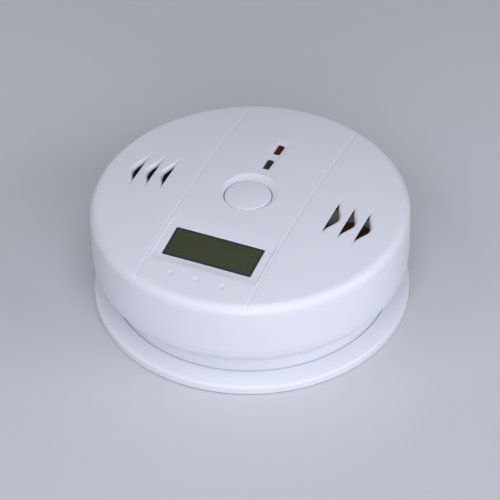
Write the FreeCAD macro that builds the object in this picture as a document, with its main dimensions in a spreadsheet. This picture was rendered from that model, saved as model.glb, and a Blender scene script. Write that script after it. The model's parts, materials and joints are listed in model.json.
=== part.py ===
import FreeCAD, Part
# Carbon monoxide detector: a round battery alarm that locks onto a bayonet mounting plate.
# Millimetres. The origin is the centre of the mounting plate's underside, +Z points out of the face,
# and +Y points from the display towards the lamps.
import math
import os
import types

import Sketcher

V = FreeCAD.Vector
TURN_X = V(1, 0, 0)
TURN_Y = V(0, 1, 0)
TURN_Z = V(0, 0, 1)

# Driving dimensions: alias, number, what it is.
DIMENSIONS = [
    ("cover_radius", 54.0, "outside of the front cover"),
    ("apex_height", 42.7, "top of the domed face above the plate's underside"),
    ("dome_radius", 313.0, "sphere that the face is part of"),
    ("edge_radius", 3.5, "rounding between the face and the side wall"),
    ("wall", 2.4, "front cover wall"),
    ("skirt_bottom", 14.4, "lower edge of the front cover"),
    ("skirt_crease", 22.8, "where the side wall starts to draw in"),
    ("skirt_turn", 17.7, "where the skirt's lower rounding starts"),
    ("skirt_draw", 0.25, "how far the wall draws in down to the rounding"),
    ("skirt_lip", 0.8, "width of the skirt's flat lower edge"),
    ("groove_offset", 19.8, "face grooves from the centre line"),
    ("groove_width", 0.6, "face groove width"),
    ("groove_depth", 0.3, "face groove depth"),
    ("button_offset", -1.35, "button centre along Y"),
    ("button_radius", 8.0, "test button"),
    ("button_gap", 0.3, "gap round the test button"),
    ("dish_radius", 9.75, "outside of the dished ring round the button"),
    ("dish_sphere", 25.0, "sphere that cuts the dished ring"),
    ("dish_shift", 1.25, "how far the dish sits behind the button's centre"),
    ("lamp_width", 2.0, "rectangular lamp across"),
    ("lamp_length", 5.0, "rectangular lamp along Y"),
    ("lamp_height", 7.0, "rectangular lamp body"),
    ("red_offset", 25.3, "red lamp centre along Y"),
    ("green_offset", 16.1, "green lamp centre along Y"),
    ("lamp_gap", 0.15, "clearance round a lamp"),
    ("lamp_recess", 0.2, "lamp top below the face"),
    ("lamp_foot", 0.25, "how far a lamp's foot stands out all round"),
    ("channel_width", 3.0, "shallow channel that the lamps sit in"),
    ("channel_depth", 0.3, "depth of the lamp channel"),
    ("channel_end", 30.4, "far end of the lamp channel"),
    ("channel_ramp", 2.0, "length of the ramp at the channel's far end"),
    ("lamp_lead_half", 1.27, "lamp leads either side of its centre"),
    ("pin_stub", 0.6, "how far pins stand out under the board"),
    ("window_width", 31.9, "display opening across"),
    ("window_height", 12.7, "display opening along its slope"),
    ("window_offset", -30.25, "display opening centre along Y"),
    ("window_level", 40.4, "display bay floor at the opening's centre"),
    ("window_tilt", 7.2, "display bay slope in degrees"),
    ("bay_width", 39.0, "display bay across, groove to groove"),
    ("bay_top", -18.5, "where the ramp into the display bay starts"),
    ("bay_ramp_end", -23.0, "where the ramp meets the bay floor"),
    ("bay_bottom", -39.5, "step at the bay's lower end"),
    ("window_skin", 1.2, "cover left round the display opening"),
    ("dimple_radius", 1.25, "moulded dimples under the display"),
    ("dimple_offset", -44.0, "dimples along Y"),
    ("dimple_pitch", 9.3, "dimple spacing"),
    ("vent_first", 29.5, "straight edge of the innermost vent"),
    ("vent_pitch", 5.55, "vent spacing"),
    ("vent_chord", 16.5, "vent length"),
    ("vent_width", 2.5, "vent opening at its widest"),
    ("vent_scoop", 2.7, "depth of the scoop at the straight edge"),
    ("vent_slope", 27.5, "slope of the scoop in degrees"),
    ("vent_offset", 0.1, "vent centre along Y"),
    ("collar_radius", 11.2, "collar that guides the button"),
    ("collar_bottom", 37.0, "lower end of that collar"),
    ("ledge_level", 40.0, "flat that the button's flange stops under"),
    ("flange_radius", 9.3, "button flange"),
    ("flange_gap", 0.15, "button flange to its stop"),
    ("button_skirt", 38.65, "button flange underside"),
    ("stem_radius", 2.0, "button stem"),
    ("button_crown", 0.4, "how far the button's middle stands proud of its edge"),
    ("button_rounding", 0.55, "rounding of the button's edge"),
    ("plate_radius", 54.2, "mounting plate"),
    ("plate_edge", 2.7, "top of the plate's upright edge"),
    ("plate_shoulder", 53.2, "where the plate's cone starts"),
    ("shoulder_height", 3.55, "height of that point"),
    ("plate_top", 5.1, "top of the plate's cone"),
    ("plate_inner", 48.15, "inside of the plate's raised rim"),
    ("plate_floor", 2.4, "plate floor thickness"),
    ("plate_chamfer", 0.6, "chamfer round the plate's underside"),
    ("plate_relief_in", 49.6, "relief groove in the underside, inner"),
    ("plate_relief_out", 52.2, "relief groove in the underside, outer"),
    ("plate_relief", 2.0, "relief groove depth"),
    ("slot_radius", 2.25, "half width of a wall screw slot"),
    ("slot_length", 9.0, "wall screw slot end to end"),
    ("slot_offset", 30.0, "wall screw slot from the centre"),
    ("lug_inner", 40.6, "bayonet lug post, inner radius"),
    ("lug_outer", 42.4, "bayonet lug post, outer radius"),
    ("lug_head", 1.3, "overhang of the lug's head each side"),
    ("lug_head_bottom", 7.9, "underside of the lug's head"),
    ("lug_head_top", 9.9, "top of the lug's head"),
    ("lug_angle", 7.0, "length of a lug in degrees"),
    ("lug_clearance", 0.4, "clearance round a lug"),
    ("twist_angle", 16.0, "turn from locked to free in degrees"),
    ("twist_spare", 1.0, "play at each end of a lug's slot in degrees"),
    ("neck_radius", 47.8, "rear housing's neck"),
    ("neck_wall", 2.0, "rear housing wall"),
    ("neck_bottom", 2.7, "lower edge of the neck"),
    ("back_bottom", 5.6, "underside of the rear wall"),
    ("back_top", 7.6, "inside of the rear wall"),
    ("shelf_bottom", 14.9, "underside of the housing's shelf"),
    ("shelf_top", 16.9, "top of the housing's shelf"),
    ("shelf_radius", 51.4, "outside of the shelf"),
    ("lip_wall", 1.8, "upstanding lip on the shelf"),
    ("lip_top", 19.0, "top of that lip"),
    ("cell_radius", 7.1, "round cell"),
    ("cell_length", 49.2, "round cell without its button"),
    ("cell_pitch", 14.6, "cell spacing"),
    ("cell_axis", 11.4, "height of the cells' centre line"),
    ("cell_button_radius", 2.7, "positive button"),
    ("cell_button_height", 1.3, "positive button"),
    ("bay_half_x", 22.3, "battery bay inside, half width"),
    ("bay_half_y", 28.4, "battery bay inside, half length"),
    ("bay_roof", 18.8, "battery bay inside height"),
    ("bay_wall", 1.4, "battery bay wall"),
    ("screw_circle", 41.2, "case screws, radius"),
    ("tube_radius", 4.0, "screw tube in the rear housing"),
    ("tube_bore", 2.9, "screw tube bore"),
    ("tube_seat", 15.3, "seat that the screw head bears on"),
    ("boss_radius", 3.0, "case screw boss in the cover"),
    ("boss_bore", 1.3, "pilot bore in the boss"),
    ("boss_depth", 9.0, "pilot bore depth"),
    ("shank_radius", 1.3, "case screw shank"),
    ("head_radius", 2.6, "case screw head"),
    ("head_height", 1.8, "case screw head"),
    ("shank_hole", 1.6, "clearance hole for the case screws"),
    ("post_radius", 2.6, "board post in the cover"),
    ("post_bore", 1.0, "board post pilot bore"),
    ("post_hole", 1.25, "board screw hole"),
    ("board_screw_head", 2.1, "board screw head radius"),
    ("board_screw_depth", 6.0, "board screw shank above the board"),
    ("board_radius", 44.0, "circuit board"),
    ("board_bottom", 21.6, "circuit board underside"),
    ("board_top", 23.2, "circuit board top"),
    ("board_notch", 3.6, "notches round the cover's bosses"),
    ("switch_side", 6.0, "push switch across"),
    ("switch_body", 3.3, "push switch base height"),
    ("switch_plate_thick", 0.3, "push switch cover plate"),
    ("switch_leg_x", 3.15, "push switch legs from its centre along X"),
    ("switch_leg_y", 2.25, "push switch legs from its centre along Y"),
    ("plunger_radius", 1.7, "push switch plunger"),
    ("plunger_foot_radius", 2.2, "plunger's foot inside the switch"),
    ("plunger_top", 28.0, "top of the plunger"),
    ("sensor_offset", -34.0, "gas sensor along X"),
    ("sensor_radius", 9.5, "gas sensor can"),
    ("sensor_top", 35.9, "top of the gas sensor can"),
    ("sensor_cap_radius", 8.6, "gas sensor's perforated cap"),
    ("sensor_cap_top", 36.7, "top of that cap"),
    ("sounder_offset", 34.5, "sounder along X"),
    ("sounder_radius", 12.0, "sounder chamber"),
    ("sounder_wall", 1.2, "sounder chamber wall"),
    ("sounder_top", 35.0, "top of the sounder chamber"),
    ("sounder_ledge", 30.8, "ledge that carries the disc"),
    ("sounder_cap_thick", 1.0, "sounder cap"),
    ("sounder_port", 9.0, "open middle of the sounder's ring cap"),
    ("disc_thick", 0.3, "brass disc"),
    ("ceramic_radius", 7.0, "ceramic under the disc"),
    ("ceramic_thick", 0.2, "ceramic under the disc"),
    ("sounder_pin", 7.5, "sounder pins either side of its centre"),
    ("glass_width", 36.0, "display glass across"),
    ("glass_height", 16.8, "display glass along its slope"),
    ("glass_thick", 2.6, "display glass sandwich"),
    ("glass_gap", 0.4, "clearance round the display glass behind the cover"),
    ("glass_pin_row", 5.9, "rows of display pins from its centre"),
    ("glass_pin_pitch", 3.0, "display pin spacing"),
    ("pane_flange", 1.6, "rim of the clear window under the cover"),
    ("pane_rim", 0.8, "thickness of that rim"),
    ("pane_gap", 0.15, "gap round the clear window"),
    ("bracket_wall", 1.4, "display bracket wall"),
    ("lead_radius", 0.6, "battery lead"),
    ("lead_bend", 3.2, "battery lead bend"),
    ("contact_thick", 0.4, "battery contact plate"),
    ("spring_wire", 0.45, "contact spring wire radius"),
    ("spring_radius", 3.2, "contact spring coil"),
    ("spring_turns", 3.0, "contact spring turns"),
]


class Size:
    """A number together with the spreadsheet expression that it comes from."""

    def __init__(self, value, text):
        self.value = value
        self.text = text

    def __add__(self, other):
        other = size(other)
        return Size(self.value + other.value, f"({self.text} + {other.text})")

    def __sub__(self, other):
        other = size(other)
        return Size(self.value - other.value, f"({self.text} - {other.text})")

    def __mul__(self, other):
        other = size(other)
        return Size(self.value * other.value, f"({self.text} * {other.text})")

    def __truediv__(self, other):
        other = size(other)
        return Size(self.value / other.value, f"({self.text} / {other.text})")

    def __radd__(self, other):
        return size(other) + self

    def __rsub__(self, other):
        return size(other) - self

    def __rmul__(self, other):
        return size(other) * self

    def __neg__(self):
        return Size(-self.value, f"(0 - {self.text})")


def size(thing):
    """A plain number as a Size; a Size as it is."""
    if isinstance(thing, Size):
        return thing
    return Size(float(thing), f"({float(thing)})" if thing < 0 else f"{float(thing)}")


def root(thing):
    return Size(math.sqrt(thing.value), f"sqrt({thing.text})")


def tangent(angle):
    return Size(math.tan(math.radians(angle.value)), f"tan({angle.text} * 1 deg)")


doc = FreeCAD.newDocument("carbon_monoxide_detector")
sheet = doc.addObject("Spreadsheet::Sheet", "Sizes")
for row, (alias, number, note) in enumerate(DIMENSIONS, start=1):
    sheet.set(f"A{row}", alias)
    sheet.set(f"B{row}", str(number))
    sheet.setAlias(f"B{row}", alias)
    sheet.set(f"C{row}", note)
doc.recompute()
s = types.SimpleNamespace(**{alias: Size(number, f"Sizes.{alias}") for alias, number, _ in DIMENSIONS})


# ---------------------------------------------------------------- helpers

def bind(thing, path, length):
    thing.setExpression(path, size(length).text)


def put(thing, x=0, y=0, z=0, turn=0, about=TURN_Z):
    """Places a thing; its position follows the sheet."""
    thing.Placement = FreeCAD.Placement(V(0, 0, 0), FreeCAD.Rotation(about, size(turn).value))
    for axis, value in zip("xyz", (x, y, z)):
        bind(thing, f"Placement.Base.{axis}", value)
    return thing


def box(name, dx, dy, dz, x=0, y=0, z=0):
    """A block centred on x and y that stands on z."""
    block = doc.addObject("Part::Box", name)
    bind(block, "Length", dx)
    bind(block, "Width", dy)
    bind(block, "Height", dz)
    return put(block, x - size(dx) / 2, y - size(dy) / 2, z)


def rod(name, radius, bottom, top, x=0, y=0):
    """An upright cylinder from bottom to top."""
    round_bar = doc.addObject("Part::Cylinder", name)
    bind(round_bar, "Radius", radius)
    bind(round_bar, "Height", size(top) - bottom)
    return put(round_bar, x, y, bottom)


def fuse(name, parts):
    joined = doc.addObject("Part::MultiFuse", name)
    joined.Shapes = parts
    joined.Refine = True
    return joined


def cut(name, base, tools):
    """The base without the tools."""
    result = doc.addObject("Part::Cut", name)
    result.Base = base
    result.Tool = tools[0] if len(tools) == 1 else fuse(f"{name}_tools", tools)
    return result


def common(name, first, second):
    result = doc.addObject("Part::Common", name)
    result.Base = first
    result.Tool = second
    return result


def group(name, solids):
    """Separate solids that share one node."""
    result = doc.addObject("Part::Compound", name)
    result.Links = solids
    return result


def body(name):
    return doc.addObject("PartDesign::Body", name)


def origin_feature(owner, role):
    return next(feature for feature in owner.Origin.OriginFeatures if feature.Role == role)


def sketch(owner, name, plane="XY_Plane", height=0, turn=0):
    """A sketch on a plane of the body's origin: raised by height, or turned about Z on an upright one."""
    drawing = owner.newObject("Sketcher::SketchObject", name)
    drawing.AttachmentSupport = (origin_feature(owner, plane), [""])
    drawing.MapMode = "FlatFace"
    drawing.AttachmentOffset = FreeCAD.Placement(V(0, 0, 0), FreeCAD.Rotation(TURN_Y, turn))
    bind(drawing, "AttachmentOffset.Base.z", height)
    return drawing


def loose_sketch(name, upright=True):
    """A sketch outside any body: upright ones lie in the XZ plane."""
    drawing = doc.addObject("Sketcher::SketchObject", name)
    if upright:
        drawing.Placement = FreeCAD.Placement(V(0, 0, 0), FreeCAD.Rotation(TURN_X, 90))
    return drawing


def locate(drawing, geometry, point, x, y):
    """Fixes one point of a sketch from the sheet."""
    for kind, axis, value in (("DistanceX", -2, size(x)), ("DistanceY", -1, size(y))):
        if value.value == 0:
            drawing.addConstraint(Sketcher.Constraint("PointOnObject", geometry, point, axis))
            continue
        index = drawing.addConstraint(Sketcher.Constraint(kind, -1, 1, geometry, point, value.value))
        name = f"{kind[-1].lower()}{index}"
        drawing.renameConstraint(index, name)
        drawing.setExpression(f"Constraints.{name}", value.text)


def arc_between(start, end, radius):
    """Arc from start to end; a positive radius bulges to the right of the way from start to end."""
    half = (end - start) * 0.5
    reach = math.sqrt(radius * radius - half.Length ** 2)
    left = V(-half.y, half.x, 0).normalize()
    centre = start + half + left * (reach if radius > 0 else -reach)
    first, last = (start, end) if radius > 0 else (end, start)
    angles = [math.atan2(p.y - centre.y, p.x - centre.x) for p in (first, last)]
    circle_line = Part.Circle(centre, TURN_Z, abs(radius))
    return Part.ArcOfCircle(circle_line, angles[0], angles[1])


def outline(drawing, corners, arcs=None):
    """A closed outline through the corners; arcs gives the radius of the sides that are round."""
    arcs = arcs or {}
    ends = []
    spots = [V(size(x).value, size(y).value, 0) for x, y in corners]
    for side, start in enumerate(spots):
        end = spots[(side + 1) % len(spots)]
        if side in arcs:
            radius = size(arcs[side])
            line = drawing.addGeometry(arc_between(start, end, radius.value))
            ends.append((line, 1, 2) if radius.value > 0 else (line, 2, 1))
            index = drawing.addConstraint(Sketcher.Constraint("Radius", line, abs(radius.value)))
            drawing.renameConstraint(index, f"radius{index}")
            drawing.setExpression(f"Constraints.radius{index}", f"abs({radius.text})")
        else:
            line = drawing.addGeometry(Part.LineSegment(start, end))
            ends.append((line, 1, 2))
    for side, (line, first, last) in enumerate(ends):
        next_line, next_first, _ = ends[(side + 1) % len(ends)]
        drawing.addConstraint(Sketcher.Constraint("Coincident", line, last, next_line, next_first))
        locate(drawing, line, first, *corners[side])
    return drawing


def circle(drawing, radius, x=0, y=0):
    spot = V(size(x).value, size(y).value, 0)
    line = drawing.addGeometry(Part.Circle(spot, TURN_Z, size(radius).value))
    index = drawing.addConstraint(Sketcher.Constraint("Radius", line, size(radius).value))
    drawing.renameConstraint(index, f"radius{index}")
    drawing.setExpression(f"Constraints.radius{index}", size(radius).text)
    locate(drawing, line, 3, x, y)
    return drawing


def rectangle(drawing, dx, dy, x=0, y=0):
    half_x, half_y = size(dx) / 2, size(dy) / 2
    corners = [(x - half_x, y - half_y), (x + half_x, y - half_y),
               (x + half_x, y + half_y), (x - half_x, y + half_y)]
    return outline(drawing, corners)


def pad(owner, drawing, height, downward=False):
    feature = owner.newObject("PartDesign::Pad", f"{drawing.Name}_pad")
    feature.Profile = drawing
    feature.Reversed = downward
    bind(feature, "Length", height)
    return feature


def pocket(owner, drawing, depth, upward=False):
    feature = owner.newObject("PartDesign::Pocket", f"{drawing.Name}_pocket")
    feature.Profile = drawing
    feature.Reversed = upward
    bind(feature, "Length", depth)
    return feature


def revolve(owner, drawing, angle=360, kind="Revolution"):
    feature = owner.newObject(f"PartDesign::{kind}", f"{drawing.Name}_{kind.lower()}")
    feature.Profile = drawing
    feature.ReferenceAxis = (drawing, ["V_Axis"])
    feature.Midplane = True
    bind(feature, "Angle", angle)
    return feature


def ring_pattern(owner, features, count):
    """Repeats features round Z."""
    pattern = owner.newObject("PartDesign::PolarPattern", f"{features[0].Name}_ring")
    pattern.Originals = features
    pattern.Axis = (origin_feature(owner, "Z_Axis"), [""])
    pattern.Angle = 360
    pattern.Occurrences = count
    owner.Tip = pattern
    return pattern


def spin(name, corners, arcs=None):
    """A solid of revolution about Z from an outline in radius and height."""
    drawing = outline(loose_sketch(f"{name}_outline"), corners, arcs)
    solid = doc.addObject("Part::Revolution", name)
    solid.Source = drawing
    solid.Axis = TURN_Z
    solid.Base = V(0, 0, 0)
    solid.Angle = 360
    solid.Solid = True
    return solid


def sag(radius, reach):
    """How far a sphere falls away from its top at a distance from its axis."""
    reach = size(reach)
    return radius - root(radius * radius - reach * reach)


def face_height(reach):
    """Height of the domed face at a distance from the centre."""
    return s.apex_height - sag(s.dome_radius, reach)


def edge_fillet(name, base, radius, height, reach):
    """Rounds the circular edge at a radius and height."""
    doc.recompute()
    for number, edge in enumerate(base.Shape.Edges, start=1):
        curve = edge.Curve
        if not isinstance(curve, Part.Circle) or abs(curve.Radius - size(reach).value) > 1e-3:
            continue
        if abs(curve.Center.z - size(height).value) < 1e-3:
            rounded = doc.addObject("Part::Fillet", name)
            rounded.Base = base
            rounded.Edges = [(number, size(radius).value, size(radius).value)]
            return rounded
    raise RuntimeError(f"{name}: no edge to round")


nodes = []


def node(thing, name):
    """Registers a finished sub-part under its own name."""
    thing.Label = name
    nodes.append(thing)
    return thing


SCREW_ANGLES = (45, 135, 225, 315)
CASE_SCREWS = [(s.screw_circle * round(math.cos(math.radians(a)), 9),
                s.screw_circle * round(math.sin(math.radians(a)), 9)) for a in SCREW_ANGLES]
BOARD_POSTS = [(20.0, 33.0), (-20.0, 33.0), (28.0, -18.0), (-28.0, -18.0)]


# ---------------------------------------------------------------- mounting plate

def mounting_plate():
    plate = body("MountingPlate")
    edge = s.plate_radius - s.plate_chamfer
    corners = [
        (0, 0), (s.plate_relief_in, 0), (s.plate_relief_in, s.plate_relief),
        (s.plate_relief_out, s.plate_relief), (s.plate_relief_out, 0), (edge, 0),
        (s.plate_radius, s.plate_chamfer), (s.plate_radius, s.plate_edge),
        (s.plate_shoulder, s.shoulder_height), (s.plate_inner, s.plate_top),
        (s.plate_inner, s.plate_floor), (0, s.plate_floor),
    ]
    revolve(plate, outline(sketch(plate, "plate_profile", "XZ_Plane"), corners, {7: 1.3}))

    slot = sketch(plate, "wall_slot")
    reach = s.slot_length / 2 - s.slot_radius
    low, high = s.slot_offset - reach, s.slot_offset + reach
    half = s.slot_radius
    end = half * 1.0001
    outline(slot, [(low, -half), (high, -half), (high, half), (low, half)], {1: end, 3: end})
    ring_pattern(plate, [pocket(plate, slot, s.plate_floor * 2, upward=True)], 4)

    post = sketch(plate, "lug_profile", "XZ_Plane")
    middle = (s.lug_inner + s.lug_outer) / 2
    half_head = (s.lug_outer - s.lug_inner) / 2 + s.lug_head
    outline(post, [
        (s.lug_inner, s.plate_floor - 0.5), (s.lug_outer, s.plate_floor - 0.5),
        (s.lug_outer, s.lug_head_bottom), (middle + half_head, s.lug_head_bottom),
        (middle + half_head, s.lug_head_top), (middle - half_head, s.lug_head_top),
        (middle - half_head, s.lug_head_bottom), (s.lug_inner, s.lug_head_bottom),
    ])
    ring_pattern(plate, [revolve(plate, post, s.lug_angle)], 4)
    node(plate, "mounting_plate")


# ---------------------------------------------------------------- rear housing

def lug_slots(housing):
    """Arc slots: narrow where a lug is locked, wide where its head passes."""
    middle = (s.lug_inner + s.lug_outer) / 2
    half_post = (s.lug_outer - s.lug_inner) / 2 + s.lug_clearance
    cuts = []
    for label, half, turn, length in (
        ("lug_track", half_post, s.twist_angle / 2, s.twist_angle + s.lug_angle + s.twist_spare),
        ("lug_entry", half_post + s.lug_head, s.twist_angle, s.lug_angle + 2 * s.twist_spare),
    ):
        profile = sketch(housing, label, "XZ_Plane", turn=-turn.value)
        outline(profile, [
            (middle - half, s.back_bottom - 1), (middle + half, s.back_bottom - 1),
            (middle + half, s.back_top + 1), (middle - half, s.back_top + 1),
        ])
        cuts.append(revolve(housing, profile, length, "Groove"))
    ring_pattern(housing, cuts, 4)


def rear_housing():
    housing = body("RearHousing")
    inner = s.neck_radius - s.neck_wall
    corners = [
        (0, s.back_bottom), (inner, s.back_bottom), (inner, s.neck_bottom), (s.neck_radius, s.neck_bottom),
        (s.neck_radius, s.shelf_bottom), (s.shelf_radius, s.shelf_bottom), (s.shelf_radius, s.lip_top),
        (s.shelf_radius - s.lip_wall, s.lip_top), (s.shelf_radius - s.lip_wall, s.shelf_top),
        (inner, s.shelf_top), (inner, s.back_top), (0, s.back_top),
    ]
    revolve(housing, outline(sketch(housing, "housing_profile", "XZ_Plane"), corners))

    bay = sketch(housing, "battery_bay_walls", height=s.back_bottom)
    rectangle(bay, 2 * (s.bay_half_x + s.bay_wall), 2 * (s.bay_half_y + s.bay_wall))
    pad(housing, bay, s.bay_roof + s.bay_wall - s.back_bottom)
    tubes = sketch(housing, "screw_tubes", height=s.back_bottom)
    for x, y in CASE_SCREWS:
        circle(tubes, s.tube_radius, x, y)
    pad(housing, tubes, s.shelf_top - s.back_bottom)

    hollow = sketch(housing, "battery_bay", height=s.back_bottom - 1)
    rectangle(hollow, 2 * s.bay_half_x, 2 * s.bay_half_y)
    pocket(housing, hollow, s.bay_roof - s.back_bottom + 1, upward=True)
    tabs = sketch(housing, "contact_tab_slots", height=s.cell_axis - 1.2)
    for side in (-1, 1):
        rectangle(tabs, 2.6, 6, s.cell_pitch * side, -side * (s.bay_half_y + 1))
    pocket(housing, tabs, 2.4, upward=True)
    bores = sketch(housing, "screw_tube_bores", height=s.back_bottom - 1)
    for x, y in CASE_SCREWS:
        circle(bores, s.tube_bore, x, y)
    pocket(housing, bores, s.tube_seat - s.back_bottom + 1, upward=True)
    shanks = sketch(housing, "screw_shank_holes", height=s.tube_seat - 1)
    for x, y in CASE_SCREWS:
        circle(shanks, s.shank_hole, x, y)
    pocket(housing, shanks, s.shelf_top - s.tube_seat + 2, upward=True)

    ribs = sketch(housing, "cell_ribs", height=s.bay_roof + 0.5)
    for side in (-1, 1):
        rectangle(ribs, 1.0, 40.0, s.cell_pitch / 2 * side)
    pad(housing, ribs, s.bay_roof + 0.5 - (s.cell_axis + 3.2), downward=True)
    lug_slots(housing)
    node(housing, "rear_housing")


# ---------------------------------------------------------------- front cover

def domed_can(name, inset, fillet, foot):
    """The cover's outer form moved in by an inset: dome, rounded edge and straight wall down to foot."""
    radius = s.cover_radius - inset
    dome = s.dome_radius - inset
    apex = s.apex_height - inset
    rim = apex - sag(dome, radius)
    can = spin(name, [(0, foot), (radius, foot), (radius, rim), (0, apex)], {2: dome})
    return edge_fillet(f"{name}_rounded", can, fillet, rim, radius)


def outer_form():
    """The outside of the cover, skirt included."""
    rim = face_height(s.cover_radius)
    turn_radius = s.cover_radius - s.skirt_draw
    foot_radius = s.cover_radius - s.wall + s.skirt_lip
    can = spin("cover_form", [
        (0, s.skirt_bottom), (foot_radius, s.skirt_bottom), (turn_radius, s.skirt_turn),
        (s.cover_radius, s.skirt_crease), (s.cover_radius, rim), (0, s.apex_height),
    ], {1: 4.4, 4: s.dome_radius})
    return edge_fillet("cover_form_rounded", can, s.edge_radius, rim, s.cover_radius)


def face_grooves():
    """Two fine grooves that follow the face and its rounded edge at a constant depth."""
    deep = domed_can("groove_bed", s.groove_depth, s.edge_radius - s.groove_depth, s.skirt_bottom - 2)
    slabs = [box(f"groove_slab_{side}", s.groove_width, 120, 20, s.groove_offset * side, 0,
                 s.apex_height - 9) for side in (-1, 1)]
    return cut("face_grooves", fuse("groove_slabs", slabs), [deep])


def tilted(thing, x=0, along=0, out=0):
    """Places a thing in the display bay's own plane: along runs up the slope, out stands off its floor."""
    tilt = math.radians(s.window_tilt.value)
    return put(thing, x,
               s.window_offset + along * round(math.cos(tilt), 9) - out * round(math.sin(tilt), 9),
               s.window_level + along * round(math.sin(tilt), 9) + out * round(math.cos(tilt), 9),
               s.window_tilt, TURN_X)


def slab(name, dx, dy, bottom, top):
    """A block in the display bay's plane, centred on the opening."""
    block = doc.addObject("Part::Box", name)
    bind(block, "Length", dx)
    bind(block, "Width", dy)
    bind(block, "Height", size(top) - bottom)
    return tilted(block, -size(dx) / 2, -size(dy) / 2, bottom)


def prism_across(name, corners, width):
    """A prism along X, centred, from an outline in Y and Z."""
    drawing = doc.addObject("Sketcher::SketchObject", f"{name}_outline")
    drawing.Placement = FreeCAD.Placement(V(0, 0, 0), FreeCAD.Rotation(V(1, 1, 1), 120))
    outline(drawing, corners)
    prism = doc.addObject("Part::Extrusion", name)
    prism.Base = drawing
    prism.DirMode = "Custom"
    prism.Dir = TURN_X
    prism.Symmetric = True
    prism.Solid = True
    bind(prism, "LengthFwd", width)
    return prism


def display_bay():
    """The sloping recess round the display, its opening, and the flat behind it for the window's rim."""
    slope = tangent(s.window_tilt)
    corners = [
        (s.bay_top, face_height(s.bay_top)),
        (s.bay_ramp_end, s.window_level + (s.bay_ramp_end - s.window_offset) * slope),
        (s.bay_bottom, s.window_level + (s.bay_bottom - s.window_offset) * slope),
        (s.bay_bottom, s.apex_height + 2),
        (s.bay_top, s.apex_height + 2),
    ]
    recess = prism_across("display_recess", corners, s.bay_width)
    opening = slab("display_opening", s.window_width, s.window_height, -8, 8)
    seat = slab("window_seat", s.glass_width + 2 * s.glass_gap, s.glass_height + 2 * s.glass_gap,
                -8, -s.window_skin)
    return [recess, opening, seat]


def vent_scoop():
    """One vent at the top of the face: a sloping scoop under a straight edge, and its opening."""
    chord = s.vent_chord / 2
    scoop_radius = (chord * chord + s.vent_scoop * s.vent_scoop) / (2 * s.vent_scoop)
    scoop = doc.addObject("Part::Cylinder", "vent_scoop")
    bind(scoop, "Radius", scoop_radius)
    bind(scoop, "Height", 60)
    slope = math.radians(s.vent_slope.value)
    put(scoop, -20 * math.cos(slope), s.vent_offset,
        s.apex_height + scoop_radius - s.vent_scoop - 20 * math.sin(slope), 90 - s.vent_slope, TURN_Y)
    outside = box("vent_outside", 20, 40, 30, 10, s.vent_offset, s.apex_height - 10)
    hole_radius = (chord * chord + s.vent_width * s.vent_width) / (2 * s.vent_width)
    hole = rod("vent_hole", hole_radius, s.apex_height - 8, s.apex_height + 2,
               s.vent_width - hole_radius, s.vent_offset)
    return common("vent_tool", fuse("vent_cut", [scoop, hole]), outside)


def vents():
    """Three vents on the right, rolled down the dome from its top, and their mirror images on the left."""
    tool = vent_scoop()
    doc.recompute()
    right = []
    for number in range(3):
        reach = s.vent_first + number * s.vent_pitch
        roll = math.degrees(math.asin(reach.value / s.dome_radius.value))
        rolled = doc.addObject("Part::Feature", f"vent_right_{number + 1}")
        rolled.Shape = tool.Shape
        pivot = V(0, 0, s.apex_height.value - s.dome_radius.value)
        rolled.Placement = FreeCAD.Placement(V(0, 0, 0), FreeCAD.Rotation(TURN_Y, roll), pivot)
        right.append(rolled)
    both = list(right)
    for number, vent in enumerate(right, start=1):
        image = doc.addObject("Part::Mirroring", f"vent_left_{number}")
        image.Source = vent
        image.Normal = TURN_X
        image.Base = V(0, 0, 0)
        both.append(image)
    return both


def lamp_channel():
    """The shallow channel that the lamps sit in, with a ramp at its far end, and their two openings."""
    floor = face_height(s.channel_end) - s.channel_depth
    near = s.button_offset + s.button_radius
    corners = [
        (near, face_height(near) - s.channel_depth),
        (s.channel_end - s.channel_ramp, floor),
        (s.channel_end, face_height(s.channel_end)),
        (s.channel_end, s.apex_height + 2), (near, s.apex_height + 2),
    ]
    tools = [prism_across("lamp_recess", corners, s.channel_width)]
    for name, offset in (("red", s.red_offset), ("green", s.green_offset)):
        tools.append(box(f"{name}_lamp_hole", s.lamp_width + 2 * s.lamp_gap,
                         s.lamp_length + 2 * s.lamp_gap, 12, 0, offset, s.apex_height - 9))
    return tools


def button_seat():
    """The dished ring, the button's hole and the flat ledge that its flange stops under."""
    dish_rise = s.dish_sphere - sag(s.dish_sphere, s.dish_radius)
    dish = doc.addObject("Part::Sphere", "button_dish")
    bind(dish, "Radius", s.dish_sphere)
    put(dish, 0, s.button_offset + s.dish_shift, s.apex_height + dish_rise)
    hole = rod("button_hole", s.button_radius + s.button_gap, s.collar_bottom - 1,
               s.apex_height + 1, 0, s.button_offset)
    guide = rod("button_guide", s.flange_radius + s.button_gap, s.collar_bottom - 1,
                s.ledge_level, 0, s.button_offset)
    return [dish, hole, guide]


def dimples():
    """Three shallow round dimples under the display."""
    tools = []
    for number in (-1, 0, 1):
        reach = s.dimple_pitch * number
        ball = doc.addObject("Part::Sphere", f"dimple_{number + 2}")
        bind(ball, "Radius", s.dimple_radius * 1.35)
        distance = root(reach * reach + s.dimple_offset * s.dimple_offset)
        put(ball, reach, s.dimple_offset, face_height(distance) + s.dimple_radius * 0.9)
        tools.append(ball)
    return tools


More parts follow.
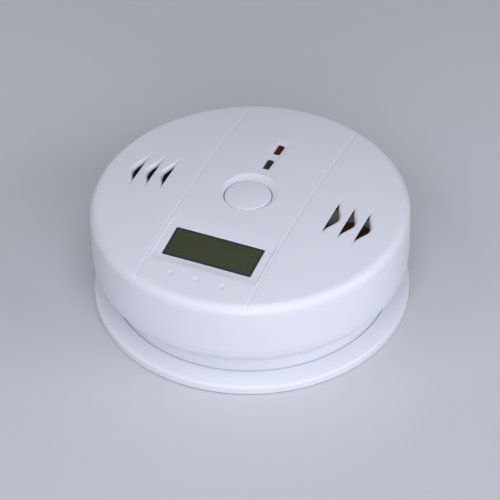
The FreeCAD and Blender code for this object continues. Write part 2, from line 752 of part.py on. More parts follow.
def front_cover():
    outside = outer_form()
    hollow = domed_can("cover_hollow", s.wall, s.edge_radius - s.wall, s.skirt_bottom - 2)
    shell = cut("cover_shell", outside, [hollow])

    inside = domed_can("cover_lining", s.wall * 0.6, s.edge_radius - s.wall * 0.6, s.skirt_bottom - 2)
    posts = [rod(f"case_boss_{n}", s.boss_radius, s.shelf_top + 0.1, s.apex_height, x, y)
             for n, (x, y) in enumerate(CASE_SCREWS, start=1)]
    posts += [rod(f"board_post_{n}", s.post_radius, s.board_top, s.apex_height, x, y)
              for n, (x, y) in enumerate(BOARD_POSTS, start=1)]
    posts.append(rod("button_collar", s.collar_radius, s.collar_bottom, s.apex_height, 0, s.button_offset))
    inner_works = common("cover_bosses", fuse("boss_stack", posts), inside)
    solid = fuse("cover_blank", [shell, inner_works])

    tools = [face_grooves()] + display_bay() + vents() + lamp_channel() + button_seat() + dimples()
    tools += [rod(f"case_pilot_{n}", s.boss_bore, s.shelf_top - 1, s.shelf_top + s.boss_depth, x, y)
              for n, (x, y) in enumerate(CASE_SCREWS, start=1)]
    tools += [rod(f"board_pilot_{n}", s.post_bore, s.board_top - 1, s.board_top + 8, x, y)
              for n, (x, y) in enumerate(BOARD_POSTS, start=1)]
    node(cut("FrontCover", solid, tools), "front_cover")


# ---------------------------------------------------------------- test button and its switch

def test_button():
    """Round button with a flange that the cover holds in and a long stem that reaches the switch."""
    edge = s.apex_height - s.button_crown
    flange_top = s.ledge_level - s.flange_gap
    crown = s.button_crown
    crown_radius = (s.button_radius * s.button_radius + crown * crown) / (2 * crown)
    cap = spin("button_turned", [
        (0, s.plunger_top + 0.03), (s.stem_radius, s.plunger_top + 0.03),
        (s.stem_radius, s.button_skirt + 0.9),
        (s.button_radius - 1.4, s.button_skirt + 0.9), (s.button_radius - 1.4, s.button_skirt),
        (s.flange_radius, s.button_skirt), (s.flange_radius, flange_top), (s.button_radius, flange_top),
        (s.button_radius, edge), (0, edge + crown),
    ], {8: crown_radius})
    rounded = edge_fillet("button_rounded", cap, s.button_rounding, edge, s.button_radius)
    node(put(rounded, 0, s.button_offset, 0), "test_button")


SWITCH_LEGS = [(-1, -1), (-1, 1), (1, -1), (1, 1)]


def push_switch():
    y = s.button_offset
    base_top = s.board_top + s.switch_body
    block = box("switch_block", s.switch_side, s.switch_side, s.switch_body, 0, y, s.board_top)
    well = rod("switch_well", s.plunger_foot_radius + 0.3, s.board_top + 1.4, base_top + 1, 0, y)
    node(cut("SwitchBase", block, [well]), "switch_base")
    plate = box("switch_sheet", s.switch_side, s.switch_side, s.switch_plate_thick, 0, y, base_top)
    eye = rod("switch_eye", s.plunger_radius + 0.2, base_top - 1, base_top + 1, 0, y)
    node(cut("SwitchPlate", plate, [eye]), "switch_plate")
    foot = rod("plunger_foot", s.plunger_foot_radius, base_top - 0.95, base_top - 0.05, 0, y)
    pin = rod("plunger_pin", s.plunger_radius, base_top - 0.5, s.plunger_top, 0, y)
    node(fuse("SwitchPlunger", [foot, pin]), "switch_plunger")
    legs = [box(f"switch_leg_{n}", 0.3, 0.8, 3.4, s.switch_leg_x * side, y + s.switch_leg_y * end,
                s.board_bottom - s.pin_stub)
            for n, (side, end) in enumerate(SWITCH_LEGS, start=1)]
    node(group("SwitchLegs", legs), "switch_legs")


# ---------------------------------------------------------------- lamps

def lamps():
    foot_height = 1.0
    leads = []
    for name, offset in (("red", s.red_offset), ("green", s.green_offset)):
        bottom = face_height(offset) - s.lamp_recess - s.lamp_height
        lens = box(f"{name}_lens", s.lamp_width, s.lamp_length, s.lamp_height - foot_height,
                   0, offset, bottom + foot_height)
        foot = box(f"{name}_foot", s.lamp_width + 2 * s.lamp_foot, s.lamp_length + 2 * s.lamp_foot,
                   foot_height, 0, offset, bottom)
        node(fuse(f"{name}_lamp", [lens, foot]), f"{name}_led")
        for side in (-1, 1):
            leads.append(box(f"{name}_lead_{side + 2}", 0.5, 0.5, bottom - s.board_bottom + s.pin_stub,
                             0, offset + s.lamp_lead_half * side, s.board_bottom - s.pin_stub))
    node(group("LedLeads", leads), "led_leads")
    middle = (s.red_offset + s.green_offset) / 2
    length = s.red_offset - s.green_offset + s.lamp_length + 2
    block = box("holder_block", 5.0, length, 11.0, 0, middle, s.board_top)
    wells = [box(f"holder_well_{n}", 1.0, 3.6, 14, 0, offset, s.board_top - 1)
             for n, offset in enumerate((s.red_offset, s.green_offset), start=1)]
    node(cut("LedHolder", block, wells), "led_holder")


# ---------------------------------------------------------------- display

def display():
    gap = s.pane_gap
    pane = slab("pane_front", s.window_width - 2 * gap, s.window_height - 2 * gap,
                -s.window_skin - 0.1, -0.1)
    rim_top = -s.window_skin - 0.05
    rim_bottom = -s.window_skin - s.pane_rim
    rim = slab("pane_rim_plate", s.window_width + 2 * s.pane_flange, s.window_height + 2 * s.pane_flange,
               rim_bottom, rim_top)
    node(fuse("DisplayWindow", [pane, rim]), "display_window")
    glass_top = rim_bottom - 0.1
    glass_bottom = glass_top - s.glass_thick
    node(slab("LcdPanel", s.glass_width, s.glass_height, glass_bottom, glass_top), "lcd_panel")

    middle = s.window_offset + 0.5
    outer = box("bracket_block", s.glass_width + 2 * s.glass_gap, s.glass_height + 2 * s.glass_gap,
                20, 0, middle, s.board_top)
    well = box("bracket_well", s.glass_width - 2 * s.bracket_wall, s.glass_height - 2 * s.bracket_wall,
               60, 0, middle, s.board_top - 30)
    above = slab("bracket_trim", 60, 60, glass_bottom, 20)
    node(cut("LcdBracket", outer, [well, above]), "lcd_bracket")

    pins = []
    slope = tangent(s.window_tilt)
    for row, along in enumerate((-1, 1)):
        y = s.window_offset + s.glass_pin_row * along
        top = s.window_level + glass_bottom - 0.15 + (y - s.window_offset) * slope
        for column in range(8):
            x = s.glass_pin_pitch * (column - 3.5)
            pins.append(box(f"lcd_pin_{row * 8 + column + 1}", 0.5, 0.3, top - s.board_bottom + s.pin_stub,
                            x, y, s.board_bottom - s.pin_stub))
    node(group("LcdPins", pins), "lcd_pins")


# ---------------------------------------------------------------- circuit board and what stands on it

CHIP_SPOTS = [(-12.0, -8.5), (-17.0, 3.0), (-9.0, 16.5), (-9.0, 21.5), (9.5, 22.5), (9.5, 27.0),
              (17.5, -14.0), (12.0, -16.5), (-21.5, -14.5), (-24.0, 15.0), (-24.0, 20.0), (26.0, 18.0),
              (22.0, 22.0), (-6.5, 34.0), (6.5, 34.0), (0.0, 38.5)]
CAPACITOR_SPOTS = [(-14.5, 9.5, 8.0), (-16.5, 24.5, 10.0), (14.0, 31.5, 7.0)]
SENSOR_PINS = [(5.5, 0.0), (-3.2, 4.6), (-3.2, -4.6)]


def board():
    plate = body("MainBoard")
    pad(plate, circle(sketch(plate, "board_outline", height=s.board_bottom), s.board_radius),
        s.board_top - s.board_bottom)
    depth = s.board_top - s.board_bottom + 2
    notches = sketch(plate, "boss_notches", height=s.board_bottom - 1)
    for x, y in CASE_SCREWS:
        circle(notches, s.board_notch, x, y)
    pocket(plate, notches, depth, upward=True)
    holes = sketch(plate, "board_holes", height=s.board_bottom - 1)
    for x, y in BOARD_POSTS:
        circle(holes, s.post_hole, x, y)
    for side, end in SWITCH_LEGS:
        circle(holes, 0.6, s.switch_leg_x * side, s.button_offset + s.switch_leg_y * end)
    for offset in (s.red_offset, s.green_offset):
        for side in (-1, 1):
            circle(holes, 0.45, 0, offset + s.lamp_lead_half * side)
    for along in (-1, 1):
        for column in range(8):
            circle(holes, 0.4, s.glass_pin_pitch * (column - 3.5),
                   s.window_offset + s.glass_pin_row * along)
    for x, y in SENSOR_PINS:
        circle(holes, 0.65, s.sensor_offset + x, y)
    for side in (-1, 1):
        circle(holes, 0.55, s.sounder_offset, s.sounder_pin * side)
        circle(holes, s.lead_radius + 0.1, s.cell_pitch * side, -side * lead_end())
    pocket(plate, holes, depth, upward=True)
    node(plate, "main_circuit_board")


def lead_end():
    """How far out along Y the battery leads come up through the board."""
    return s.bay_half_y + s.bay_wall + 2.2 + s.lead_bend


def board_parts():
    top = s.board_top
    chip = box("mcu_block", 10, 10, 1.6, 12, -7.5, top + 0.1)
    legs = [box(f"mcu_legs_{n}", 1.0, 9, 0.3, 12 + 5.4 * side, -7.5, top) for n, side in enumerate((-1, 1))]
    node(fuse("Microcontroller", [chip] + legs), "microcontroller")
    chip = box("regulator_block", 4, 5, 1.5, -13, -1.5, top + 0.1)
    legs = [box(f"regulator_legs_{n}", 0.9, 4.4, 0.3, -13 + 2.3 * side, -1.5, top)
            for n, side in enumerate((-1, 1))]
    node(fuse("Regulator", [chip] + legs), "voltage_regulator")

    crystal = box("crystal_can", 10.6, 4.2, 3.3, 12.5, 3.2, top + 0.4)
    rim = box("crystal_rim", 11.4, 5.0, 0.4, 12.5, 3.2, top)
    node(fuse("Crystal", [crystal, rim]), "crystal")

    cans = []
    for n, (x, y, tall) in enumerate(CAPACITOR_SPOTS, start=1):
        can = rod(f"capacitor_can_{n}", 3.15, top, top + tall, x, y)
        neck = doc.addObject("Part::Torus", f"capacitor_neck_{n}")
        bind(neck, "Radius1", 3.5)
        bind(neck, "Radius2", 0.5)
        put(neck, x, y, top + 1.6)
        cans.append(cut(f"capacitor_{n}", can, [neck]))
    node(group("Capacitors", cans), "capacitors")

    x, y = 14.5, 12.5
    drum = [rod("inductor_foot", 4.5, top, top + 1.2, x, y),
            rod("inductor_coil", 3.7, top + 1, top + 5, x, y),
            rod("inductor_crown", 4.5, top + 4.8, top + 6, x, y)]
    node(fuse("Inductor", drum), "boost_inductor")
    chips = [box(f"chip_{n}", 2.0, 1.25, 0.6, x, y, top) for n, (x, y) in enumerate(CHIP_SPOTS, start=1)]
    node(group("ChipParts", chips), "chip_resistors")


# ---------------------------------------------------------------- gas sensor and sounder

def gas_sensor():
    x = s.sensor_offset
    can = rod("sensor_body", s.sensor_radius, s.board_top + 0.4, s.sensor_top, x, 0)
    waist = doc.addObject("Part::Torus", "sensor_waist")
    bind(waist, "Radius1", s.sensor_radius + 0.2)
    bind(waist, "Radius2", 0.6)
    put(waist, x, 0, s.sensor_top - 2.2)
    node(cut("GasSensor", can, [waist]), "gas_sensor_can")
    cap = rod("sensor_lid", s.sensor_cap_radius, s.sensor_top, s.sensor_cap_top, x, 0)
    holes = []
    for n in range(6):
        angle = math.radians(60 * n)
        holes.append(rod(f"sensor_hole_{n + 1}", 0.9, s.sensor_top - 1, s.sensor_cap_top + 1,
                         x + 4.6 * round(math.cos(angle), 6), 4.6 * round(math.sin(angle), 6)))
    holes.append(rod("sensor_hole_7", 0.9, s.sensor_top - 1, s.sensor_cap_top + 1, x, 0))
    node(cut("GasSensorCap", cap, holes), "gas_sensor_cap")
    pins = [rod(f"sensor_pin_{n}", 0.5, s.board_bottom - s.pin_stub, s.board_top + 0.4, x + dx, dy)
            for n, (dx, dy) in enumerate(SENSOR_PINS, start=1)]
    node(group("GasSensorPins", pins), "gas_sensor_pins")


def sounder():
    x = s.sounder_offset
    inner = s.sounder_radius - s.sounder_wall
    cup = rod("chamber_block", s.sounder_radius, s.board_top, s.sounder_top, x, 0)
    lower = rod("chamber_hollow", inner - 0.9, s.board_top + 1.2, s.sounder_top + 1, x, 0)
    upper = rod("chamber_mouth", inner, s.sounder_ledge, s.sounder_top + 1, x, 0)
    node(cut("SounderChamber", cup, [lower, upper]), "sounder_chamber")
    disc_top = s.sounder_ledge + s.disc_thick
    node(rod("SounderDisc", inner - 0.1, s.sounder_ledge, disc_top, x, 0), "sounder_disc")
    node(rod("SounderCeramic", s.ceramic_radius, s.sounder_ledge - s.ceramic_thick, s.sounder_ledge, x, 0),
         "sounder_ceramic")
    lid = rod("sounder_lid", s.sounder_radius, s.sounder_top, s.sounder_top + s.sounder_cap_thick, x, 0)
    plug = rod("sounder_plug", inner - 0.1, s.sounder_top - 1, s.sounder_top + 0.2, x, 0)
    relief = rod("sounder_relief", inner - 1.2, s.sounder_top - 2, s.sounder_top, x, 0)
    port = rod("sounder_port", s.sounder_port, s.sounder_top - 2, s.sounder_top + 3, x, 0)
    node(cut("SounderCap", fuse("sounder_lid_blank", [lid, plug]), [relief, port]), "sounder_cap")
    pins = [rod(f"sounder_pin_{n}", 0.4, s.board_bottom - s.pin_stub, s.board_top, x, s.sounder_pin * side)
            for n, side in enumerate((-1, 1), start=1)]
    node(group("SounderPins", pins), "sounder_pins")


# ---------------------------------------------------------------- batteries

CELLS = [(-1, 1, "left"), (0, -1, "middle"), (1, 1, "right")]


def lying_rod(name, radius, length, x, start, direction, z):
    """A cylinder along Y from start, in the given direction."""
    bar = doc.addObject("Part::Cylinder", name)
    bind(bar, "Radius", radius)
    bind(bar, "Height", length)
    return put(bar, x, start, z, -90 * direction, TURN_X)


def cells():
    """Three round cells side by side; facing is the way that the positive end points along Y."""
    caps, springs, plates = [], [], []
    reach = s.bay_half_y - 0.1
    for place, facing, side in CELLS:
        x = s.cell_pitch * place
        nose = (reach - s.contact_thick) * facing
        shoulder = nose - s.cell_button_height * facing
        node(lying_rod(f"Cell_{side}", s.cell_radius, s.cell_length, x, shoulder, -facing, s.cell_axis),
             f"battery_{side}")
        caps.append(lying_rod(f"cell_cap_{side}", s.cell_button_radius, s.cell_button_height,
                              x, shoulder, facing, s.cell_axis))
        tail = shoulder - s.cell_length * facing
        springs.append(contact_spring(f"spring_{side}", x, tail, facing))
    for name, first, last, end in (("left_lead", -1, -1, 1), ("right_pair", 0, 1, 1),
                                   ("left_pair", -1, 0, -1), ("right_lead", 1, 1, -1)):
        width = s.cell_pitch * (last - first) + 11
        plates.append(box(f"contact_{name}", width, s.contact_thick, 11, s.cell_pitch * (first + last) / 2,
                          end * (reach - s.contact_thick / 2), s.cell_axis - 5.5))
    for index, (side, end) in ((0, (-1, 1)), (3, (1, -1))):
        tab = box(f"contact_tab_{index}", 2.2, s.bay_wall + 2.2, 0.4, s.cell_pitch * side,
                  end * (s.bay_half_y + s.bay_wall / 2 + 0.9), s.cell_axis - 0.2)
        plates[index] = fuse(f"contact_with_tab_{index}", [plates[index], tab])
    node(group("CellCaps", caps), "battery_caps")
    node(group("ContactSprings", springs), "contact_springs")
    node(group("ContactPlates", plates), "contact_plates")


def contact_spring(name, x, tail, facing):
    """A coil between a contact plate and a cell's flat end, wound from the sheet's sizes."""
    plate_face = -(s.bay_half_y - 0.1 - s.contact_thick) * facing
    length = abs(tail.value - plate_face.value) - 2 * s.spring_wire.value - 0.1
    pitch = length / s.spring_turns.value
    helix = Part.makeHelix(pitch, length, s.spring_radius.value)
    start = helix.Vertexes[0].Point
    lead_slope = pitch / (2 * math.pi * start.x)
    section = Part.Wire(Part.makeCircle(s.spring_wire.value, start, V(0, 1, lead_slope)))
    coil = doc.addObject("Part::Feature", name)
    coil.Shape = Part.Wire(helix).makePipeShell([section], True, True)
    offset = V(x.value, plate_face.value + (s.spring_wire.value + 0.05) * facing, s.cell_axis.value)
    coil.Placement = FreeCAD.Placement(offset, FreeCAD.Rotation(TURN_X, -90 * facing))
    return coil


def battery_lead(name, side, end):
    """A lead from a contact tab out over the bay's wall and up through the board."""
    wire = body(name)
    begin = s.bay_half_y + s.bay_wall + 2.05
    rise = s.board_top + 0.8
    height = s.cell_axis + 0.2 + s.lead_radius
    route = wire.newObject("Sketcher::SketchObject", f"{name}_route")
    route.AttachmentSupport = (origin_feature(wire, "YZ_Plane"), [""])
    route.MapMode = "FlatFace"
    bind(route, "AttachmentOffset.Base.z", s.cell_pitch * side)
    bend = s.lead_bend
    turn = lead_end() - bend
    spots = [(begin - 1.6, height), (turn, height), (lead_end(), height + bend), (lead_end(), rise)]
    points = [V(y.value * end, z.value, 0) for y, z in spots]
    lines = [
        route.addGeometry(Part.LineSegment(points[0], points[1])),
        route.addGeometry(arc_between(points[1], points[2], bend.value * end)),
        route.addGeometry(Part.LineSegment(points[2], points[3])),
    ]
    near, far = (1, 2) if end > 0 else (2, 1)
    route.addConstraint(Sketcher.Constraint("Coincident", lines[0], 2, lines[1], near))
    route.addConstraint(Sketcher.Constraint("Coincident", lines[1], far, lines[2], 1))
    for line, point, (y, z) in ((lines[0], 1, spots[0]), (lines[0], 2, spots[1]),
                                (lines[2], 1, spots[2]), (lines[2], 2, spots[3])):
        locate(route, line, point, y * end, z)
    index = route.addConstraint(Sketcher.Constraint("Radius", lines[1], bend.value))
    route.renameConstraint(index, "bend")
    route.setExpression("Constraints.bend", bend.text)
    section = wire.newObject("Sketcher::SketchObject", f"{name}_section")
    section.AttachmentSupport = (origin_feature(wire, "XZ_Plane"), [""])
    section.MapMode = "FlatFace"
    bind(section, "AttachmentOffset.Base.z", -(begin - 1.6) * end)
    circle(section, s.lead_radius, s.cell_pitch * side, height)
    run = wire.newObject("PartDesign::AdditivePipe", f"{name}_run")
    run.Profile = section
    run.Spine = (route, [])
    node(wire, name)


# ---------------------------------------------------------------- screws

def screw(name, x, y, seat, shank_radius, shank_length, head_radius, head_height):
    """A pan head screw that points up, with a cross recess in its head."""
    shank = rod(f"{name}_shank", shank_radius, seat - 0.2, seat + shank_length, x, y)
    head = rod(f"{name}_head", head_radius, seat - head_height, seat, x, y)
    blank = fuse(f"{name}_blank", [shank, head])
    bars = [box(f"{name}_bar_{n}", dx, dy, 2, x, y, seat - head_height - 1)
            for n, (dx, dy) in enumerate(((head_radius * 1.1, 0.6), (0.6, head_radius * 1.1)))]
    return cut(name, blank, bars)


def fasteners():
    case = [screw(f"case_screw_{n}", x, y, s.tube_seat, s.shank_radius, 9.0, s.head_radius, s.head_height)
            for n, (x, y) in enumerate(CASE_SCREWS, start=1)]
    node(group("CaseScrews", case), "case_screws")
    small = [screw(f"board_screw_{n}", x, y, s.board_bottom, s.post_bore, s.board_screw_depth,
                   s.board_screw_head, size(1.3))
             for n, (x, y) in enumerate(BOARD_POSTS, start=1)]
    node(group("BoardScrews", small), "board_screws")


def check_document():
    """Stops unless every object recomputed and every sub-part is a valid solid."""
    failed = [thing.Name for thing in doc.Objects if {"Invalid", "Error"} & set(thing.State)]
    bad = [part.Label for part in nodes if part.Shape.isNull() or not part.Shape.isValid()]
    if failed or bad:
        raise RuntimeError(f"failed: {failed}, bad shapes: {bad}")


mounting_plate()
rear_housing()
front_cover()
test_button()
push_switch()
lamps()
display()
board()
board_parts()
gas_sensor()
sounder()
cells()
battery_lead("battery_lead_red", -1, 1)
battery_lead("battery_lead_black", 1, -1)
fasteners()
doc.recompute()
check_document()
os.makedirs("parts", exist_ok=True)
for part in nodes:
    part.Shape.exportStep(f"parts/{part.Label}.step")
    box_size = part.Shape.BoundBox
    print(f"{part.Label}: {len(part.Shape.Solids)} solids, {part.Shape.Volume:.1f} mm3, "
          f"z {box_size.ZMin:.2f} to {box_size.ZMax:.2f}")
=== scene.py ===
# Looks of the carbon monoxide detector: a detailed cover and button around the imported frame,
# moulded and metal materials for every part, a pale floor, studio light and the camera.
import json
import math

import bpy
import numpy as np
from mathutils import Matrix, Vector, geometry


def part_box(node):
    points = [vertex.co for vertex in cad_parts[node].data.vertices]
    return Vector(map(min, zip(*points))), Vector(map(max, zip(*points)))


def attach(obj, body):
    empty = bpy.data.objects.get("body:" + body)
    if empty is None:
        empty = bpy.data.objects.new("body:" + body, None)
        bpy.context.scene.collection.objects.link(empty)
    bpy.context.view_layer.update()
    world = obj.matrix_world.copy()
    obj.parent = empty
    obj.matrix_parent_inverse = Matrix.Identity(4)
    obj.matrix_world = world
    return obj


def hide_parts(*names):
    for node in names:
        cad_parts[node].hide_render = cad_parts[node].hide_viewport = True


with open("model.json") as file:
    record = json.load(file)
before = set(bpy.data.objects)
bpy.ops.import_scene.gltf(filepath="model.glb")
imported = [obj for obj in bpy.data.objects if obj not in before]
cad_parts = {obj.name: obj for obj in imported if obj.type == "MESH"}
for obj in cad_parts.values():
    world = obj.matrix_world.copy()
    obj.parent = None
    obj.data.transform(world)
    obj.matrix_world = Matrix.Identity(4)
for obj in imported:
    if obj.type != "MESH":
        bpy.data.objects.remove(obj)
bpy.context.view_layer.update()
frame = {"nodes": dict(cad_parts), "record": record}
NODES = frame["nodes"]
MM = 0.001


def low(node):
    """Lowest corner of a CAD node in millimetres."""
    return [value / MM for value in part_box(node)[0]]


def high(node):
    """Highest corner of a CAD node in millimetres."""
    return [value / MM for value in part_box(node)[1]]


# ---------------------------------------------------------------- sizes in millimetres

COVER_RADIUS = high("front_cover")[0]
APEX = high("front_cover")[2]
SKIRT_BOTTOM = low("front_cover")[2]
DOME = 313.0            # sphere that the face is part of
EDGE = 3.5              # rounding between face and side wall
WALL = 2.4
LEAST_WALL = 0.9        # least thickness under the face's details
OPENING_LIP = 0.22      # rounding along the edges of the openings
SKIRT_CREASE = 22.8     # where the side wall starts to draw in
SKIRT_TURN = 18.0       # fine line where the skirt starts to curve in
SKIRT_DRAW = 0.27       # how far the wall has drawn in at that line
SKIRT_LIP = 0.8         # width of the skirt's lower edge
GROOVE_X = 19.8
GROOVE_HALF, GROOVE_DEPTH = 0.5, 0.10
BAY_TOP, BAY_RAMP_END, BAY_BOTTOM = -17.6, -23.8, -39.5
BAY_HALF, BAY_LEAST = 19.45, 0.25
BAY_STEP = (-0.9, 2.6)  # where the step at the bay's lower end starts and stops, from BAY_BOTTOM
WINDOW = (31.9, 12.7)   # display opening across and along
WINDOW_Y = -30.25
WINDOW_LEVEL = 40.4
WINDOW_SLOPE = math.tan(math.radians(7.2))
GLASS_BORDER = 1.0      # width of the display's dark border
SEAT_HALF, SEAT_FAR, SEAT_NEAR = 18.45, -21.5, -39.0    # seat behind the window, half width and ends
SEAT_DROP = 1.2         # from the window's top to that seat
BUTTON_Y = (low("test_button")[1] + high("test_button")[1]) / 2
BUTTON_RADIUS = 8.0
BUTTON_HOLE = 8.3
DISH_RADIUS = 9.65
DISH_SPHERE = 25.0
DISH_SHIFT = 1.75       # the dish sits behind the button's centre
BUTTON_CROWN = 0.4
BUTTON_ROUNDING = 1.1
FLANGE_RADIUS, FLANGE_BOTTOM, FLANGE_TOP = 9.3, 38.65, 39.85
HOLLOW_RADIUS, HOLLOW_TOP = 6.6, 39.55         # hollow round the stem, under the button
STEM_RADIUS = 2.0
COLLAR_RADIUS, COLLAR_BOTTOM = 11.25, 37.0     # collar round the button, inside the cover
LEDGE_RADIUS, LEDGE_LEVEL = 9.55, 40.0         # ledge that the button's flange stops under
LAMP_HOLE = (2.3, 5.3)
LAMP = (2.0, 5.0)
RED_Y = (low("red_led")[1] + high("red_led")[1]) / 2
GREEN_Y = (low("green_led")[1] + high("green_led")[1]) / 2
CHANNEL_HALF, CHANNEL_DEPTH, CHANNEL_START, CHANNEL_END = 1.5, 0.17, 11.2, 30.2
CHANNEL_RUN_IN = 1.2    # over which the channel starts
VENT_FIRST, VENT_PITCH = 29.5, 5.55
VENT_Y = 0.3
VENT_OPEN = 8.9         # half length of the opening's curve
VENT_LENGTH = 9.8       # half length of the scoop
VENT_WIDTH, VENT_DEPTH, VENT_SCOOP = 2.6, 1.4, 1.0
VENT_UNDERCUT = 1.15    # how far the openings widen below the face
DIMPLE_Y, DIMPLE_PITCH, DIMPLE_RADIUS, DIMPLE_DEPTH = -44.0, 9.3, 1.25, 0.24
CASE_BOSS = 41.2 * math.cos(math.pi / 4)       # the four case screw bosses stand at plus and minus this
BOARD_POSTS = ((20, 33), (-20, 33), (28, -18), (-28, -18))
CASE_BOSS_SIZE = (3.0, 1.3, 17.0, 38.0)        # radius, bore, bottom and top
BOARD_POST_SIZE = (2.6, 1.0, 23.2, 38.6)
AROUND = 480            # points round the cover
TURN = 144              # points round the button and its dish
TOUCH = 0.002           # closer than this counts as on a line


# ---------------------------------------------------------------- camera, floor, light

def camera():
    """The viewing angle of the reference: azimuth, elevation and a slight roll, from a metre away."""
    azimuth, elevation, roll = math.radians(24.33), math.radians(41.04), math.radians(-1.50)
    distance, left, lift = 1.0, 0.00068, 0.0125     # metres; the last two frame the object
    back = Vector((math.sin(azimuth) * math.cos(elevation), -math.cos(azimuth) * math.cos(elevation),
                   math.sin(elevation)))
    right = Vector((math.cos(azimuth), math.sin(azimuth), 0))
    up = back.cross(right)
    across = right * math.cos(roll) + up * math.sin(roll)
    upward = up * math.cos(roll) - right * math.sin(roll)
    place = back * distance - across * left + upward * lift
    data = bpy.data.cameras.new("camera")
    data.lens = 208.66
    data.clip_start = 0.05
    thing = bpy.data.objects.new("camera", data)
    bpy.context.collection.objects.link(thing)
    thing.matrix_world = Matrix((
        (across.x, upward.x, back.x, place.x),
        (across.y, upward.y, back.y, place.y),
        (across.z, upward.z, back.z, place.z),
        (0, 0, 0, 1)))
    bpy.context.scene.camera = thing


def area_light(name, place, size, power):
    """A rectangular soft light that faces the middle of the object."""
    data = bpy.data.lights.new(name, "AREA")
    data.shape = "RECTANGLE"
    data.size, data.size_y = size
    data.energy = power
    data.color = (0.905, 0.918, 1.0)
    thing = bpy.data.objects.new(name, data)
    bpy.context.collection.objects.link(thing)
    thing.location = place
    thing.rotation_euler = (Vector((0, 0, 0.03)) - Vector(place)).to_track_quat("-Z", "Y").to_euler()


def studio():
    """A broad key light beside the camera, softer lights on each side, above and behind, and a dim sky."""
    world = bpy.data.worlds.new("studio")
    bpy.context.scene.world = world
    world.use_nodes = True
    sky = world.node_tree.nodes["Background"]
    sky.inputs["Color"].default_value = (0.86, 0.90, 1.0, 1)
    sky.inputs["Strength"].default_value = 0.11
    area_light("key_box", around(-62, 34, 0.95), (0.80, 0.60), 4.45)
    area_light("low_box", around(-75, 4, 0.90), (0.60, 0.10), 0.9)
    area_light("right_box", around(2, 26, 0.90), (0.50, 0.45), 2.6)
    area_light("left_box", around(-132, 48, 0.90), (0.50, 0.40), 1.3)
    area_light("top_box", around(-60, 72, 0.95), (0.50, 0.50), 2.05)
    area_light("back_box", around(140, 14, 1.00), (0.60, 0.30), 1.0)
    view = bpy.context.scene.view_settings
    view.view_transform = "Standard"
    view.look = "None"


def around(azimuth, elevation, distance):
    """A place round the object, angles in degrees."""
    flat, lift = math.radians(azimuth), math.radians(elevation)
    return (distance * math.cos(flat) * math.cos(lift), distance * math.sin(flat) * math.cos(lift),
            distance * math.sin(lift))


# ---------------------------------------------------------------- materials

class Shader:
    """A Principled material built up node by node."""

    def __init__(self, name, colour, roughness, **values):
        """Other values go to the sockets of the same name, with _ for a space."""
        self.material = bpy.data.materials.new(name)
        self.material.use_nodes = True
        self.tree = self.material.node_tree
        self.base = self.tree.nodes["Principled BSDF"]
        self.colour = colour
        self.base.inputs["Base Color"].default_value = (*colour, 1)
        self.base.inputs["Roughness"].default_value = roughness
        for key, value in values.items():
            self.base.inputs[key.replace("_", " ")].default_value = value

    def add(self, kind, **settings):
        """A new node with some of its settings."""
        made = self.tree.nodes.new(kind)
        for key, value in settings.items():
            setattr(made, key, value)
        return made

    def link(self, start, end):
        """Joins an output to an input."""
        self.tree.links.new(start, end)

    def place(self, scale=1.0):
        """Object coordinates in millimetres times scale."""
        where = self.add("ShaderNodeTexCoord")
        mapping = self.add("ShaderNodeMapping")
        factor = scale / MM
        mapping.inputs["Scale"].default_value = (factor, factor, factor)
        self.link(where.outputs["Object"], mapping.inputs["Vector"])
        return mapping.outputs["Vector"]

    def noise(self, scale, detail=3.0, roughness=0.5):
        """Noise whose features are about 1/scale millimetres."""
        texture = self.add("ShaderNodeTexNoise")
        texture.inputs["Scale"].default_value = scale
        texture.inputs["Detail"].default_value = detail
        texture.inputs["Roughness"].default_value = roughness
        self.link(self.place(), texture.inputs["Vector"])
        return texture.outputs["Fac"]

    def spread(self, value, low_value, high_value):
        """Maps a 0 to 1 value onto a range."""
        ranged = self.add("ShaderNodeMapRange")
        ranged.inputs["From Min"].default_value = 0.3
        ranged.inputs["From Max"].default_value = 0.7
        ranged.inputs["To Min"].default_value = low_value
        ranged.inputs["To Max"].default_value = high_value
        self.link(value, ranged.inputs["Value"])
        return ranged.outputs["Result"]

    def math(self, operation, first, second=None):
        """A Math node on numbers or node outputs."""
        step = self.add("ShaderNodeMath", operation=operation)
        for number, value in enumerate((first, second)):
            if isinstance(value, (int, float)):
                step.inputs[number].default_value = value
            elif value is not None:
                self.link(value, step.inputs[number])
        return step.outputs["Value"]

    def vary_colour(self, value, other):
        """Mixes the material's colour with another one by a 0 to 1 value."""
        mix = self.add("ShaderNodeMix", data_type="RGBA")
        mix.inputs["A"].default_value = (*self.colour, 1)
        mix.inputs["B"].default_value = (*other, 1)
        self.link(value, mix.inputs["Factor"])
        self.link(mix.outputs["Result"], self.base.inputs["Base Color"])

    def vary_roughness(self, value, low_value, high_value):
        """Moves the roughness between two values."""
        self.link(self.spread(value, low_value, high_value), self.base.inputs["Roughness"])

    def bump(self, value, height, strength=1.0):
        """Bump of a height in millimetres."""
        made = self.add("ShaderNodeBump")
        made.inputs["Distance"].default_value = height * MM
        made.inputs["Strength"].default_value = strength
        self.link(value, made.inputs["Height"])
        self.link(made.outputs["Normal"], self.base.inputs["Normal"])


def moulded(name, colour, other, rough, grain, height, **values):
    """Moulded plastic: spark-eroded grain, a slow drift of tone and patches of different polish."""
    shader = Shader(name, colour, rough, **values)
    shader.vary_colour(shader.noise(0.05, 2), other)
    shader.vary_roughness(shader.noise(0.22, 4), rough - 0.04, rough + 0.05)
    shader.bump(shader.noise(grain, 2), height)
    return shader.material


